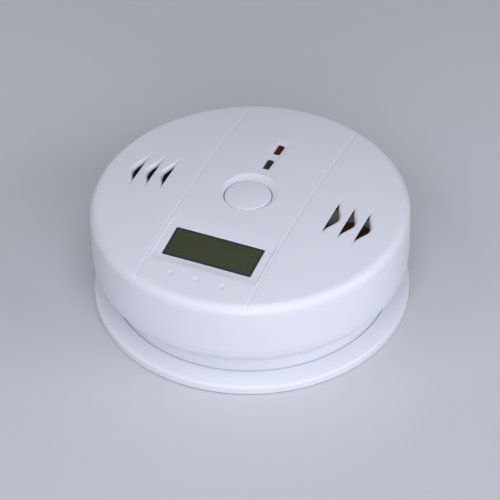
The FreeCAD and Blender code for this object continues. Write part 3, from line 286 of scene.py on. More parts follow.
def metal(name, colour, rough, grain=(1.0, 1.0, 12.0), height=0.002):
    """Plated or drawn metal: fine drawing lines and a mottled polish."""
    shader = Shader(name, colour, rough, Metallic=1.0)
    shader.vary_roughness(shader.noise(0.9, 4), rough - 0.08, rough + 0.10)
    texture = shader.add("ShaderNodeTexNoise")
    texture.inputs["Scale"].default_value = 1.0
    mapping = shader.add("ShaderNodeMapping")
    mapping.inputs["Scale"].default_value = grain
    shader.link(shader.place(), mapping.inputs["Vector"])
    shader.link(mapping.outputs["Vector"], texture.inputs["Vector"])
    shader.bump(texture.outputs["Fac"], height)
    return shader.material


def laminate():
    """Circuit board: green mask in slightly different tones, with copper tracks as lighter bands."""
    shader = Shader("board_laminate", (0.02, 0.13, 0.05), 0.35)
    brick = shader.add("ShaderNodeTexBrick")
    brick.inputs["Scale"].default_value = 0.16
    brick.inputs["Mortar Size"].default_value = 0.08
    brick.inputs["Color1"].default_value = (0.02, 0.13, 0.05, 1)
    brick.inputs["Color2"].default_value = (0.025, 0.15, 0.06, 1)
    brick.inputs["Mortar"].default_value = (0.05, 0.24, 0.10, 1)
    shader.link(shader.place(), brick.inputs["Vector"])
    shader.link(brick.outputs["Color"], shader.base.inputs["Base Color"])
    shader.bump(shader.noise(4.0, 2), 0.004)
    return shader.material


def display_glass():
    """Unlit display: a dark olive film with a dark grey border, under glossy glass."""
    shader = Shader("display_glass", (0.030, 0.040, 0.014), 0.12, IOR=1.5)
    parts = shader.add("ShaderNodeSeparateXYZ")
    shader.link(shader.place(), parts.inputs["Vector"])
    across = shader.math("ABSOLUTE", parts.outputs["X"])
    across = shader.math("SUBTRACT", across, WINDOW[0] / 2 - GLASS_BORDER)
    along = shader.math("SUBTRACT", parts.outputs["Y"], WINDOW_Y)
    along = shader.math("SUBTRACT", shader.math("ABSOLUTE", along), WINDOW[1] / 2 - GLASS_BORDER)
    border = shader.math("MAXIMUM", across, along)
    edge = shader.add("ShaderNodeMapRange", interpolation_type="SMOOTHSTEP")
    edge.inputs["From Min"].default_value = -0.5
    edge.inputs["From Max"].default_value = 0.6
    shader.link(border, edge.inputs["Value"])
    mottle = shader.add("ShaderNodeMix", data_type="RGBA")
    mottle.inputs["A"].default_value = (0.054, 0.066, 0.037, 1)
    mottle.inputs["B"].default_value = (0.064, 0.069, 0.035, 1)
    shader.link(shader.spread(shader.noise(0.15, 2), 0.0, 1.0), mottle.inputs["Factor"])
    mix = shader.add("ShaderNodeMix", data_type="RGBA")
    mix.inputs["B"].default_value = (0.036, 0.040, 0.051, 1)
    shader.link(mottle.outputs["Result"], mix.inputs["A"])
    shader.link(edge.outputs["Result"], mix.inputs["Factor"])
    shader.link(mix.outputs["Result"], shader.base.inputs["Base Color"])
    shader.bump(shader.noise(0.4, 1), 0.001)
    return shader.material


def clear(name, colour, rough):
    """Clear moulded plastic with a faintly uneven polish."""
    shader = Shader(name, colour, rough, Transmission_Weight=1.0, IOR=1.49)
    shader.vary_roughness(shader.noise(0.4, 3), rough, rough + 0.03)
    return shader.material


# Moulded surfaces: name, colour, second colour, roughness, grain in marks per millimetre, grain height.
WHITES = (
    ("case_white", (0.760, 0.772, 0.835), (0.775, 0.787, 0.845), 0.40, 6.0, 0.003),
    ("button_white", (0.755, 0.767, 0.830), (0.775, 0.785, 0.845), 0.38, 7.0, 0.002),
    ("plate_white", (0.765, 0.777, 0.835), (0.780, 0.792, 0.845), 0.42, 5.0, 0.004),
)
MOULDINGS = (
    ("red_lens", (0.080, 0.0010, 0.0018), (0.105, 0.002, 0.003), 0.25, 3.0, 0.002),
    ("green_lens", (0.008, 0.032, 0.024), (0.011, 0.040, 0.030), 0.25, 3.0, 0.002),
    ("black_plastic", (0.022, 0.022, 0.024), (0.030, 0.030, 0.032), 0.45, 6.0, 0.005),
    ("natural_plastic", (0.66, 0.65, 0.60), (0.70, 0.69, 0.64), 0.42, 5.0, 0.004),
    ("grey_plastic", (0.58, 0.53, 0.51), (0.63, 0.58, 0.55), 0.48, 5.0, 0.006),
    ("resistor_ceramic", (0.03, 0.03, 0.034), (0.40, 0.39, 0.36), 0.35, 3.0, 0.003),
    ("ferrite", (0.045, 0.045, 0.05), (0.16, 0.06, 0.03), 0.55, 2.0, 0.03),
    ("capacitor_sleeve", (0.012, 0.018, 0.07), (0.02, 0.028, 0.09), 0.28, 2.0, 0.003),
    ("sensor_shell", (0.035, 0.032, 0.032), (0.045, 0.041, 0.041), 0.45, 4.0, 0.004),
    ("sensor_mesh", (0.022, 0.020, 0.020), (0.032, 0.029, 0.029), 0.60, 3.0, 0.02),
    ("silvered_ceramic", (0.70, 0.69, 0.66), (0.62, 0.61, 0.58), 0.32, 3.0, 0.004),
    ("lead_red", (0.36, 0.012, 0.012), (0.42, 0.02, 0.02), 0.45, 3.0, 0.006),
    ("lead_black", (0.015, 0.015, 0.016), (0.03, 0.03, 0.03), 0.45, 3.0, 0.006),
)
METALS = (
    ("bare_steel", (0.62, 0.61, 0.60), 0.30),
    ("tinned_copper", (0.72, 0.71, 0.70), 0.34),
    ("crystal_metal", (0.66, 0.65, 0.63), 0.26),
    ("brass_disc", (0.30, 0.19, 0.11), 0.50),
)


def make_materials():
    """All materials by name; the names are the record's slots, with two more whites."""
    soft = {"Subsurface_Weight": 0.08, "Subsurface_Scale": 0.0015, "IOR": 1.46}
    made = {row[0]: moulded(*row, **soft) for row in WHITES}
    made |= {row[0]: moulded(*row) for row in MOULDINGS}
    made |= {row[0]: metal(*row) for row in METALS}
    made["clear_pane"] = clear("clear_pane", (0.95, 0.96, 0.95), 0.03)
    made["display_glass"] = display_glass()
    made["board_laminate"] = laminate()
    made["cell_jacket"] = cell_jacket()
    return made


def cell_jacket():
    """Plain dark film round a cell, with a slow drift of tone and small wrinkles."""
    shader = Shader("cell_jacket", (0.03, 0.035, 0.05), 0.25, Metallic=0.4)
    shader.vary_colour(shader.noise(0.08, 2), (0.05, 0.055, 0.075))
    shader.bump(shader.noise(1.2, 2), 0.004)
    return shader.material


# ---------------------------------------------------------------- mesh helpers

def mesh_object(name, points, faces, material, sharp=32):
    """A mesh from points in millimetres, smooth except at edges sharper than an angle in degrees."""
    data = bpy.data.meshes.new(name)
    data.from_pydata([tuple(p) for p in np.asarray(points, dtype=float) * MM], [], faces)
    data.validate()
    data.update()
    data.shade_smooth()
    data.set_sharp_from_angle(angle=math.radians(sharp))
    thing = bpy.data.objects.new(name, data)
    bpy.context.collection.objects.link(thing)
    data.materials.append(material)
    return thing


def arc(centre, radius, start, end, steps):
    """Points on an arc in the radius and height plane, angles in degrees from the radius axis."""
    angles = np.radians(np.linspace(start, end, steps + 1))
    return [(centre[0] + radius * math.cos(a), centre[1] + radius * math.sin(a)) for a in angles]


def lathe(profile, count, centre=(0, 0)):
    """Points and faces of a profile of (radius, height) turned round Z; ends of radius 0 are closed."""
    points, faces, rings = [], [], []
    for radius, height in profile:
        if radius < 1e-6:
            rings.append([len(points)] * count)
            points.append((centre[0], centre[1], height))
            continue
        rings.append(list(range(len(points), len(points) + count)))
        for step in range(count):
            angle = 2 * math.pi * step / count
            x, y = centre[0] + radius * math.cos(angle), centre[1] + radius * math.sin(angle)
            points.append((x, y, height))
    for lower, upper in zip(rings, rings[1:]):
        for step in range(count):
            after = (step + 1) % count
            corners = [lower[step], lower[after], upper[after], upper[step]]
            faces.append(tuple(dict.fromkeys(corners)))
    return points, faces


# ---------------------------------------------------------------- the cover's face

def smooth(value, start, end):
    """0 before start, 1 after end, and an even S between."""
    t = np.clip((value - start) / (end - start), 0, 1)
    return t * t * (3 - 2 * t)


# Where the dome runs into the rounded edge, and how long both are in the plan.
FILLET_Z = APEX - DOME + math.sqrt((DOME - EDGE) ** 2 - (COVER_RADIUS - EDGE) ** 2)
FILLET_START = math.asin((COVER_RADIUS - EDGE) / (DOME - EDGE))
FACE_END = DOME * math.sin(FILLET_START)
PLAN_END = FACE_END + EDGE * (math.pi / 2 - FILLET_START)


def unroll(points, inset=0.0):
    """Plan radius, true radius, height and tilt of plan points. The plan is flat over the dome, and over
    the rounded edge its radius is the length along the arc."""
    plan = np.hypot(points[:, 0], points[:, 1])
    tilt = np.where(plan <= FACE_END, np.arcsin(np.minimum(plan, FACE_END) / DOME),
                    FILLET_START + (plan - FACE_END) / EDGE)
    dome, edge = DOME - inset, EDGE - inset
    radius = np.where(plan <= FACE_END, dome * np.sin(tilt), COVER_RADIUS - EDGE + edge * np.sin(tilt))
    height = np.where(plan <= FACE_END, APEX - DOME + dome * np.cos(tilt), FILLET_Z + edge * np.cos(tilt))
    return plan, radius, height, tilt


def groove_depth(x):
    """Two fine straight grooves along Y."""
    share = np.clip(1 - (np.abs(np.abs(x) - GROOVE_X) / GROOVE_HALF) ** 2, 0, 1)
    return GROOVE_DEPTH * share ** 1.5


def bay_floor(y):
    """Height of the display bay along Y: a ramp that steepens from the face, then the sloping floor."""
    floor = WINDOW_LEVEL + (y - WINDOW_Y) * WINDOW_SLOPE
    top = APEX - BAY_TOP ** 2 / (2 * DOME)
    foot = WINDOW_LEVEL + (BAY_RAMP_END - WINDOW_Y) * WINDOW_SLOPE
    share = np.clip((BAY_TOP - y) / (BAY_TOP - BAY_RAMP_END), 0, 1)
    gentle = -BAY_TOP / DOME * (BAY_TOP - BAY_RAMP_END)
    ramp = top - gentle * share - (top - foot - gentle) * share ** 1.4
    return np.where(y > BAY_RAMP_END, ramp, floor)


def bay_depth(x, y, face):
    """The display bay is at least a shallow recess where its flat floor would meet the dome."""
    least = BAY_LEAST * smooth(-y, -BAY_TOP, -BAY_RAMP_END)
    depth = np.maximum(face - bay_floor(y), least)
    inside = (y < BAY_TOP) * smooth(y, BAY_BOTTOM + BAY_STEP[0], BAY_BOTTOM + BAY_STEP[1])
    return depth * inside * (1 - smooth(np.abs(x), BAY_HALF - 1.0, BAY_HALF))


def dish_depth(x, y):
    """The dish round the button, part of a sphere, with a softened edge."""
    reach = np.hypot(x, y - BUTTON_Y - DISH_SHIFT)
    bowl = np.sqrt(DISH_SPHERE ** 2 - np.minimum(reach, DISH_RADIUS) ** 2)
    depth = bowl - math.sqrt(DISH_SPHERE ** 2 - DISH_RADIUS ** 2)
    return depth * (1 - smooth(reach, DISH_RADIUS - 0.7, DISH_RADIUS + 0.5))


def channel_depth(x, y):
    """The shallow channel that holds both lamps, deeper towards its far end."""
    across = 1 - smooth(np.abs(x), CHANNEL_HALF - 0.3, CHANNEL_HALF + 0.9)
    along = (1 - smooth(y, CHANNEL_END - 1.5, CHANNEL_END))
    along = along * smooth(y, CHANNEL_START - CHANNEL_RUN_IN, CHANNEL_START)
    return CHANNEL_DEPTH * across * along * (0.6 + smooth(y, GREEN_Y, CHANNEL_END - 2))


def dimple_depth(x, y):
    """Three dimples in a row below the display."""
    depth = np.zeros_like(x)
    for number in (-1, 0, 1):
        reach = np.hypot(x - DIMPLE_PITCH * number, y - DIMPLE_Y)
        depth = np.maximum(depth, DIMPLE_DEPTH * (1 - smooth(reach, DIMPLE_RADIUS * 0.2, DIMPLE_RADIUS)))
    return depth


def vent_shape(y):
    """Width of a vent's opening and depth of its scoop along Y."""
    width = np.clip(1 - ((y - VENT_Y) / VENT_OPEN) ** 2, 0, 1) ** 3.3
    depth = np.clip(1 - ((y - VENT_Y) / VENT_LENGTH) ** 2, 0, 1) ** 1.2
    return VENT_WIDTH * width, VENT_DEPTH * depth


def vent_depth(x, y):
    """Scoops: from each lip the face rises outward to its own level before the next straight edge."""
    depth = np.zeros_like(x)
    width, lip = vent_shape(y)
    for number in range(3):
        out = np.abs(x) - (VENT_FIRST + number * VENT_PITCH)
        share = np.clip(1 - (out - width) / VENT_SCOOP, 0, 1)
        depth = np.maximum(depth, lip * share ** 1.8 * (out > 0.03))
    return depth


def face_depth(x, y, face):
    """How far the face's details lie under the plain dome."""
    layers = [groove_depth(x), bay_depth(x, y, face), dish_depth(x, y), channel_depth(x, y),
              dimple_depth(x, y), vent_depth(x, y)]
    return np.maximum.reduce(layers)


# Openings: each is a closed loop of plan points that runs anticlockwise.

def ring(radius, centre, count):
    """Points round a circle."""
    return [(centre[0] + radius * math.cos(2 * math.pi * n / count),
             centre[1] + radius * math.sin(2 * math.pi * n / count)) for n in range(count)]


def rounded_corners(width, length, corner, centre, parts):
    """Points round a rectangle with rounded corners; each corner is an arc of so many parts."""
    points = []
    for turn, (sx, sy) in enumerate(((1, -1), (1, 1), (-1, 1), (-1, -1))):
        for part in range(parts + 1):
            angle = math.radians(-90 + 90 * turn + 90 / parts * part)
            points.append((centre[0] + sx * (width / 2 - corner) + corner * math.cos(angle),
                           centre[1] + sy * (length / 2 - corner) + corner * math.sin(angle)))
    return points


def rounded_loop(width, length, y, corner, step):
    """The loop of a rectangular opening, centred on x = 0."""
    return divide_loop(rounded_corners(width, length, corner, (0, y), 4), step)


def divide_loop(loop, step):
    """Adds points along the long sides of a loop."""
    finer = []
    for start, end in zip(loop, loop[1:] + loop[:1]):
        count = max(1, round(math.dist(start, end) / step))
        for part in range(count):
            share = part / count
            finer.append((start[0] + (end[0] - start[0]) * share, start[1] + (end[1] - start[1]) * share))
    return finer


def vent_loop(number, side):
    """The straight edge and the bell-shaped lip of one vent."""
    edge = VENT_FIRST + number * VENT_PITCH
    reach = VENT_OPEN * 0.86
    along = [VENT_Y + reach * math.sin(math.pi / 2 * part / 20) for part in range(-20, 21)]
    straight = [(edge * side, y) for y in reversed(along)]
    lip = [((edge + float(vent_shape(np.array(y))[0])) * side, y) for y in along[1:-1]]
    loop = straight + lip
    return loop if side > 0 else loop[::-1]


def openings():
    """The button's hole, the window, both lamp holes and the six vents."""
    loops = [ring(BUTTON_HOLE, (0, BUTTON_Y), TURN), rounded_loop(*WINDOW, WINDOW_Y, 0.15, 0.7),
             rounded_loop(*LAMP_HOLE, RED_Y, 0.3, 0.4), rounded_loop(*LAMP_HOLE, GREEN_Y, 0.3, 0.4)]
    loops += [vent_loop(number, side) for side in (1, -1) for number in range(3)]
    return loops


def inside_loop(points, loop):
    """Which of the points lie inside a loop."""
    x, y = points[:, 0], points[:, 1]
    hit = np.zeros(len(points), dtype=bool)
    for (x0, y0), (x1, y1) in zip(loop, loop[1:] + loop[:1]):
        if y0 == y1:
            continue
        crosses = (y0 > y) != (y1 > y)
        hit ^= crosses & (x < (x1 - x0) * (y - y0) / (y1 - y0) + x0)
    return hit


def offset_loop(loop, distance):
    """A loop moved outward by a distance."""
    points = np.array(loop)
    ahead = np.roll(points, -1, axis=0) - np.roll(points, 1, axis=0)
    ahead /= np.linalg.norm(ahead, axis=1)[:, None]
    return points + distance * np.stack([ahead[:, 1], -ahead[:, 0]], axis=1)


def ladder(xs, ys):
    """Every crossing of two lists of lines."""
    return np.array([(x, y) for x in xs for y in ys])


def line_along(x, y0, y1, step):
    """Points on a line of constant x."""
    count = max(2, int(abs(y1 - y0) / step) + 1)
    return [(x, y) for y in np.linspace(y0, y1, count)]


def line_across(y, x0, x1, step):
    """Points on a line of constant y."""
    count = max(2, int(abs(x1 - x0) / step) + 1)
    return [(x, y) for x in np.linspace(x0, x1, count)]


def groove_line(x):
    """One line of a groove: straight over the face and carried over the rounded edge at both ends."""
    half = math.sqrt(FACE_END ** 2 - x * x)
    ends = []
    for plan in np.linspace(FACE_END, PLAN_END - 0.02, 11)[1:]:
        tilt = FILLET_START + (plan - FACE_END) / EDGE
        radius = COVER_RADIUS - EDGE + EDGE * math.sin(tilt)
        angle = math.acos(x / radius)
        ends.append((plan * math.cos(angle), plan * math.sin(angle)))
    return [(px, -py) for px, py in reversed(ends)] + line_along(x, -half, half, 1.6) + ends


def creases():
    """Lines that the triangles follow, so that the face's details have clean edges."""
    lines = []
    for side in (-1, 1):
        for share in (-1.1, -0.85, -0.6, -0.35, 0, 0.35, 0.6, 0.85, 1.1):
            lines.append(groove_line((GROOVE_X + GROOVE_HALF * share) * side))
    lines += bay_lines()
    start, end = CHANNEL_START - CHANNEL_RUN_IN, CHANNEL_END + 0.3
    for out in (-0.25, 0, 0.25, 0.5, 0.7, 0.9):
        lines += [line_along((CHANNEL_HALF + out) * side, start, end, 0.8) for side in (-1, 1)]
    for side in (-1, 1):
        for number in range(3):
            lines += vent_lines(VENT_FIRST + number * VENT_PITCH, side)
    return lines


def bay_lines():
    """Lines across the display bay's ramp and lower step, and along its sides."""
    sides = [BAY_HALF - inward for inward in (1.05, 0.85, 0.65, 0.45, 0.25, 0.05)]
    rows = [BAY_TOP - drop for drop in (0, 0.6, 1.4, 2.4, 3.4, 4.4, 5.4, 5.9)]
    rows += [BAY_BOTTOM + rise for rise in (2.3, 1.9, 1.5, 1.0, 0.5, 0, -0.5, -0.9)]
    lines = [line_across(y, -sides[4], sides[4], 1.6) for y in rows]
    for x in sides:
        lines += [line_along(x * side, BAY_TOP, BAY_BOTTOM - 0.6, 1.2) for side in (-1, 1)]
    return lines


def vent_lines(edge, side):
    """The straight edge carried on past the opening, and lines up the scoop beside the lip."""
    ends = VENT_OPEN * 0.86
    lines = []
    for out in (0.0, 0.05):
        lines.append(line_along((edge + out) * side, VENT_Y + ends + 0.05, VENT_Y + VENT_LENGTH, 0.5))
        lines.append(line_along((edge + out) * side, VENT_Y - ends - 0.05, VENT_Y - VENT_LENGTH, 0.5))
    for inward in (0.12, 0.27, 0.5):
        lines.append(line_along((edge - inward) * side, VENT_Y - VENT_LENGTH, VENT_Y + VENT_LENGTH, 0.5))
    along = np.linspace(VENT_Y - VENT_LENGTH, VENT_Y + VENT_LENGTH, 45)
    width, _ = vent_shape(along)
    for share in (0.08, 0.2, 0.35, 0.5, 0.7, 0.9, 1.05):
        lines.append([((edge + w + VENT_SCOOP * share) * side, y) for w, y in zip(width, along)])
    return lines


def plan_points(loops):
    """Where the face has points: closely set at its details, widely elsewhere."""
    sets = []
    spacing = 2.0
    rows = np.arange(-FACE_END, FACE_END, spacing * 0.866)
    for index, y in enumerate(rows):
        for x in np.arange(-FACE_END, FACE_END, spacing) + (spacing / 2 if index % 2 else 0):
            if math.hypot(x, y) < FACE_END - 1.2:
                sets.append([(x, y)])
    for radius in np.concatenate([[FACE_END - 0.6], np.linspace(FACE_END, PLAN_END, 13)]):
        sets.append(ring(radius, (0, 0), AROUND))
    for out in (0.08, 0.16, 0.26, 0.45):
        sets.append(ring(BUTTON_HOLE + out, (0, BUTTON_Y), TURN))
    for out in (*np.linspace(-2.45, -0.85, 5), *np.linspace(-0.65, 0.55, 9), 0.95, 1.55):
        sets.append(ring(DISH_RADIUS + out, (0, BUTTON_Y + DISH_SHIFT), TURN))
    half = BAY_HALF - 1.85
    sets.append(ladder(np.linspace(-half, half, 23), np.linspace(BAY_TOP - 1.6, BAY_BOTTOM + 0.9, 13)))
    sets.append(ladder((-0.9, -0.5, 0, 0.5, 0.9), np.linspace(CHANNEL_START - 1.3, CHANNEL_END, 34)))
    for number in (-1, 0, 1):
        for radius in np.linspace(0.2, DIMPLE_RADIUS * 1.2, 9):
            sets.append(ring(radius, (DIMPLE_PITCH * number, DIMPLE_Y), 28))
    for loop in loops[:4]:
        for distance in (0.06, 0.14, 0.24):
            sets.append(offset_loop(loop, distance))
    for loop in loops[4:]:
        for distance in (0.05, 0.12):
            sets.append(offset_loop(loop, distance))
    return np.concatenate([np.asarray(part, dtype=float) for part in sets])


def thin_out(points, fixed, gap=0.035):
    """Drops points that nearly coincide with one kept before them."""
    taken = {tuple(np.round(p / gap).astype(int)) for p in fixed}
    kept = []
    for point in points:
        key = tuple(np.round(point / gap).astype(int))
        near = [(key[0] + i, key[1] + j) for i in (-1, 0, 1) for j in (-1, 0, 1)]
        if not any(cell in taken for cell in near):
            taken.add(key)
            kept.append(point)
    return np.array(kept)


def triangulate(loops):
    """Plan points, triangles and opening loops as lists of point numbers."""
    points = [point for loop in loops for point in loop]
    edges, loop_numbers, start = [], [], 0
    for loop in loops:
        numbers = list(range(start, start + len(loop)))
        edges += list(zip(numbers, numbers[1:] + numbers[:1]))
        loop_numbers.append(numbers)
        start += len(loop)
    for line in creases():
        numbers = list(range(len(points), len(points) + len(line)))
        points += line
        edges += list(zip(numbers, numbers[1:]))
    fixed = np.array(points, dtype=float)
    loose = thin_out(plan_points(loops), fixed)
    for loop in loops:
        loose = loose[~inside_loop(loose, loop)]
    every = np.concatenate([fixed, loose])
    result = geometry.delaunay_2d_cdt([Vector(p) for p in every], edges, [], 0, 1e-4, True)
    new_points, _, triangles, origins, _, _ = result
    placed = np.array([(p.x, p.y) for p in new_points])
    back = {source: number for number, sources in enumerate(origins) for source in sources}
    loop_numbers = [[back[n] for n in numbers] for numbers in loop_numbers]
    triangles = np.array([tuple(t) for t in triangles])
    middles = placed[triangles].mean(axis=1)
    keep = np.ones(len(triangles), dtype=bool)
    for loop in loops:
        keep &= ~inside_loop(middles, loop)
    return placed, triangles[keep], loop_numbers


def near_opening(points, loops, reach):
    """Distance from each point to the nearest of the loops, up to a reach."""
    nearest = np.full(len(points), reach)
    for loop in loops:
        corners = np.array(loop)
        box_low, box_high = corners.min(axis=0) - reach, corners.max(axis=0) + reach
        close = np.where(((points > box_low) & (points < box_high)).all(axis=1))[0]
        for start, end in zip(corners, np.roll(corners, -1, axis=0)):
            way = end - start
            share = np.clip(((points[close] - start) @ way) / (way @ way), 0, 1)
            distance = np.linalg.norm(points[close] - start - share[:, None] * way, axis=1)
            nearest[close] = np.minimum(nearest[close], distance)
    return nearest


def face_surfaces(plan, loops):
    """Outer and inner positions of the plan points, in millimetres."""
    reach, radius, height, tilt = unroll(plan)
    turn = plan / np.maximum(reach, 1e-9)[:, None]
    x, y = turn[:, 0] * radius, turn[:, 1] * radius
    depth = face_depth(x, y, height)
    fading_groove = groove_depth(x) * (1 - smooth(reach, PLAN_END - 0.9, PLAN_END - 0.1))
    depth = np.where(reach > FACE_END + 0.3, fading_groove, depth)
    gap = near_opening(plan, loops, OPENING_LIP)
    depth = depth + OPENING_LIP - np.sqrt(OPENING_LIP ** 2 - (OPENING_LIP - gap) ** 2)
    outer = np.stack([x - turn[:, 0] * depth * np.sin(tilt), y - turn[:, 1] * depth * np.sin(tilt),
                      height - depth * np.cos(tilt)], axis=1)
    _, inner_radius, inner_height, _ = unroll(plan, WALL)
    inner_x, inner_y = undercut(turn[:, 0] * inner_radius, turn[:, 1] * inner_radius, x, y)
    inner_height = np.minimum(inner_height, outer[:, 2] - LEAST_WALL)
    inner = np.stack([inner_x, inner_y, inner_depths(x, y, inner_height)], axis=1)
    return outer, inner


def undercut(inner_x, inner_y, x, y):
    """Widens the vents' openings on the inside, so that their walls lean away under the face."""
    width, _ = vent_shape(y)
    room = VENT_UNDERCUT * np.clip(width / VENT_WIDTH * 6, 0, 1)
    shift = np.zeros_like(x)
    for number in range(4):
        edge = VENT_FIRST + number * VENT_PITCH
        start = edge - VENT_PITCH + width if number else edge - VENT_PITCH + 0 * width
        share = np.clip((np.abs(x) - start) / (edge - start), 0, 1)
        within = (np.abs(x) >= start - TOUCH) & (np.abs(x) <= edge + TOUCH)
        first = 0 if number == 0 else room
        last = room if number < 3 else 0
        shift = np.where(within, first * (1 - share) - last * share, shift)
    out = np.abs(y - VENT_Y)
    stretch = smooth(out, 2.5, 7.5) * (1 - smooth(out, 7.5, 15)) * smooth(np.abs(x), 24, 27)
    return inner_x + shift * np.sign(x), inner_y + stretch * np.sign(y - VENT_Y)


def inner_depths(x, y, height):
    """The seat behind the display window and the button's ledge and collar, on the inside of the face."""
    seat = WINDOW_LEVEL + (y - WINDOW_Y) * WINDOW_SLOPE - SEAT_DROP
    in_seat = (np.abs(x) < SEAT_HALF) & (y > SEAT_NEAR) & (y < SEAT_FAR)
    height = np.where(in_seat, seat, height)
    reach = np.hypot(x, y - BUTTON_Y)
    height = np.where(reach < COLLAR_RADIUS, COLLAR_BOTTOM, height)
    return np.where(reach < LEDGE_RADIUS, LEDGE_LEVEL, height)


def skirt_profile():
    """Side wall from the end of the rounded edge down, round the lower edge and up the inside."""
    foot = COVER_RADIUS - WALL
    turn_radius = COVER_RADIUS - SKIRT_DRAW
    outer = [(COVER_RADIUS, z) for z in np.linspace(FILLET_Z, SKIRT_CREASE + 0.6, 6)[1:]]
    outer += [(COVER_RADIUS - 0.02, SKIRT_CREASE), (COVER_RADIUS - 0.06, SKIRT_CREASE - 2.0)]
    bend = ((0.10, 1.1), (0.13, 0.8), (0.18, 0.45), (0.24, 0.15), (SKIRT_DRAW, -0.15), (SKIRT_DRAW, -0.4))
    outer += [(COVER_RADIUS - draw, SKIRT_TURN + rise) for draw, rise in bend]
    lip = foot + SKIRT_LIP
    for share in np.linspace(0.3, 1, 7):
        outer.append((turn_radius + (lip + 0.15 - turn_radius) * share ** 2.2,
                      SKIRT_TURN + (SKIRT_BOTTOM + 0.2 - SKIRT_TURN) * share))
    outer += [(lip + 0.1, SKIRT_BOTTOM + 0.07), (lip, SKIRT_BOTTOM)]
    inner = [(foot + 0.12, SKIRT_BOTTOM), (foot, SKIRT_BOTTOM + 0.12), (foot, 18.0), (foot, 26.0)]
    return outer + inner


def boss(points, faces, x, y, outer, inner, bottom, top):
    """Adds a hollow screw boss to a mesh."""
    profile = [(inner, top), (inner, bottom + 0.2), (inner + 0.15, bottom), (outer - 0.15, bottom),
               (outer, bottom + 0.15), (outer, top)]
    more, sides = lathe(profile, 32, (x, y))
    start = len(points)
    points += more
    faces += [tuple(n + start for n in side) for side in sides]


def front_cover(material):
    """The cover: detailed face, openings with walls, skirt, and the bosses for the screws."""
    loops = openings()
    plan, triangles, edges = triangulate(loops)
    outer, inner = face_surfaces(plan, loops)
    count = len(plan)
    points = [tuple(p) for p in outer] + [tuple(p) for p in inner]
    faces = [tuple(t) for t in triangles] + [tuple(t[::-1] + count) for t in triangles]
    for edge in edges:
        for a, b in zip(edge, edge[1:] + edge[:1]):
            faces.append((b, a, a + count, b + count))
    add_skirt(points, faces, plan)
    for x in (-CASE_BOSS, CASE_BOSS):
        for y in (-CASE_BOSS, CASE_BOSS):
            boss(points, faces, x, y, *CASE_BOSS_SIZE)
    for x, y in BOARD_POSTS:
        boss(points, faces, x, y, *BOARD_POST_SIZE)
    cover = mesh_object("cover_shell", points, faces, material)
    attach(cover, "housing")
    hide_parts("front_cover")


def add_skirt(points, faces, plan):
    """Carries the face's outer rim down the side wall and up the inside to its inner rim."""
    angles = np.arctan2(plan[:, 1], plan[:, 0])
    rim = np.where(np.hypot(plan[:, 0], plan[:, 1]) > PLAN_END - 1e-4)[0]
    rim = sorted(rim, key=lambda n: angles[n])
    levels = [rim]
    for radius, height in skirt_profile():
        levels.append(list(range(len(points), len(points) + len(rim))))
        points += [(radius * math.cos(angles[n]), radius * math.sin(angles[n]), height) for n in rim]
    levels.append([n + len(plan) for n in rim])
    for upper, lower in zip(levels, levels[1:]):
        for k in range(len(rim)):
            after = (k + 1) % len(rim)
            faces.append((upper[k], lower[k], lower[after], upper[after]))


def test_button(material):
    """The round button: crowned top with a soft edge, flange and stem."""
    bottom, top = low("test_button")[2], high("test_button")[2]
    edge = top - BUTTON_CROWN
    centre = BUTTON_RADIUS - BUTTON_ROUNDING
    shoulder = centre + 0.1
    crown = [(r, edge + BUTTON_CROWN * (1 - (r / shoulder) ** 2)) for r in np.linspace(0, shoulder, 14)]
    rounding = arc((centre, edge - BUTTON_ROUNDING + 0.01), BUTTON_ROUNDING, 78, 0, 10)
    flange = [(BUTTON_RADIUS, FLANGE_TOP + 0.15), (BUTTON_RADIUS + 0.05, FLANGE_TOP),
              (FLANGE_RADIUS - 0.1, FLANGE_TOP), (FLANGE_RADIUS, FLANGE_TOP - 0.1),
              (FLANGE_RADIUS, FLANGE_BOTTOM + 0.1), (FLANGE_RADIUS - 0.1, FLANGE_BOTTOM)]
    hollow = [(HOLLOW_RADIUS, FLANGE_BOTTOM), (HOLLOW_RADIUS, HOLLOW_TOP - 0.1),
              (HOLLOW_RADIUS - 0.1, HOLLOW_TOP)]
    stem = [(STEM_RADIUS + 0.15, HOLLOW_TOP), (STEM_RADIUS, HOLLOW_TOP - 0.15), (STEM_RADIUS, bottom + 0.2),
            (STEM_RADIUS - 0.2, bottom), (0, bottom)]
    points, faces = lathe(crown + rounding + flange + hollow + stem, TURN, (0, BUTTON_Y))
    button = mesh_object("button_cap", points, [f[::-1] for f in faces], material)
    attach(button, "button")
    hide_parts("test_button")


def rounded_ring(width, length, corner, centre, height, slope=0.0):
    """A rounded rectangle in space, at a height that can slope along Y."""
    return [(x, y, height + (y - centre[1]) * slope)
            for x, y in rounded_corners(width, length, corner, centre, 6)]


def stacked(rings, crown=0.0):
    """Skins a stack of equal rings and closes both ends; crown lifts the middle of the top."""
    count = len(rings[0])
    points = [point for level in rings for point in level]
    faces = []
    for lower in range(0, len(points) - count, count):
        upper = lower + count
        for n in range(count):
            after = (n + 1) % count
            faces.append((lower + n, lower + after, upper + after, upper + n))
    for level, start, up in ((rings[0], 0, False), (rings[-1], (len(rings) - 1) * count, True)):
        middle = np.mean(level, axis=0) + (0, 0, crown if up else 0)
        points.append(tuple(middle))
        hub = len(points) - 1
        for n in range(count):
            after = (n + 1) % count
            pair = (start + n, start + after) if up else (start + after, start + n)
            faces.append((*pair, hub))
    return points, faces


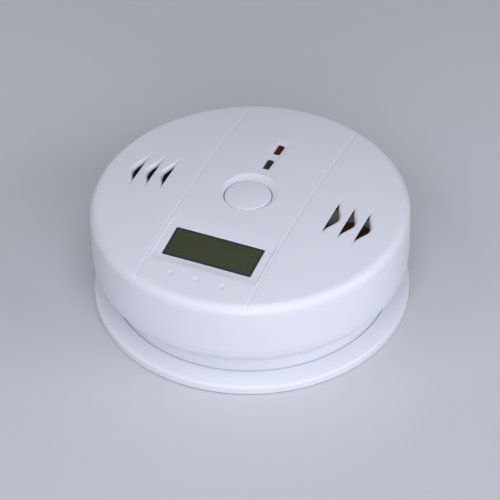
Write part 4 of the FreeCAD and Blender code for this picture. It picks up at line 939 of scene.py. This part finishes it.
def display_window(material):
    """The display's glass: a plateau with softened edges in the opening and a rim behind the cover."""
    centre = (0, WINDOW_Y)
    width, length = WINDOW[0] - 0.24, WINDOW[1] - 0.24
    levels = [(3.0, 0.4, -2.0), (3.2, 0.5, -1.9), (3.2, 0.5, -1.35), (3.0, 0.4, -1.25), (0.0, 0.14, -1.25),
              (0.0, 0.14, -0.32), (-0.05, 0.13, -0.22), (-0.14, 0.12, -0.16), (-0.3, 0.1, -0.14)]
    rings = [rounded_ring(width + wider, length + wider, corner, centre, WINDOW_LEVEL + drop, WINDOW_SLOPE)
             for wider, corner, drop in levels]
    points, faces = stacked(rings)
    glass = mesh_object("window_glass", points, faces, material)
    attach(glass, "housing")
    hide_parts("display_window")


def lamp(node, y, material):
    """A rectangular lamp: foot, body and a faintly crowned top with rounded edges."""
    bottom, top = low(node)[2], high(node)[2]
    width, length = LAMP
    levels = [(0.4, 0.25, bottom), (0.5, 0.3, bottom + 0.1), (0.5, 0.3, bottom + 0.9),
              (0.4, 0.25, bottom + 1.0), (0.0, 0.2, bottom + 1.05), (0.0, 0.2, top - 0.22),
              (-0.05, 0.18, top - 0.12), (-0.16, 0.14, top - 0.04), (-0.32, 0.1, top)]
    rings = [rounded_ring(width + wider, length + wider, corner, (0, y), level)
             for wider, corner, level in levels]
    points, faces = stacked(rings, crown=0.03)
    lens = mesh_object(node + "_lens", points, faces, material, sharp=40)
    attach(lens, "housing")
    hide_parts(node)


# ---------------------------------------------------------------- making the scene

def paint(materials):
    """Gives every CAD node its material from the record's slots."""
    slots = {entry["node"]: entry["material_slot"] for entry in frame["record"]["subparts"]}
    for name, thing in NODES.items():
        slot = slots[name]
        material = materials["plate_white"] if name == "mounting_plate" else materials[slot]
        thing.data.materials.clear()
        thing.data.materials.append(material)


def floor():
    """A pale paper floor, a hair under the plate so that the two surfaces don't coincide."""
    shader = Shader("floor_paper", (0.62, 0.63, 0.65), 0.55)
    shader.vary_colour(shader.noise(0.01, 3), (0.64, 0.65, 0.67))
    shader.bump(shader.noise(2.0, 3), 0.01)
    bpy.ops.mesh.primitive_plane_add(size=6, location=(0, 0, -0.0001))
    sheet = bpy.context.active_object
    sheet.name = "floor"
    sheet.data.materials.append(shader.material)


camera()
studio()
MATERIALS = make_materials()
paint(MATERIALS)
floor()
front_cover(MATERIALS["case_white"])
test_button(MATERIALS["button_white"])
display_window(MATERIALS["display_glass"])
lamp("red_led", RED_Y, MATERIALS["red_lens"])
lamp("green_led", GREEN_Y, MATERIALS["green_lens"])
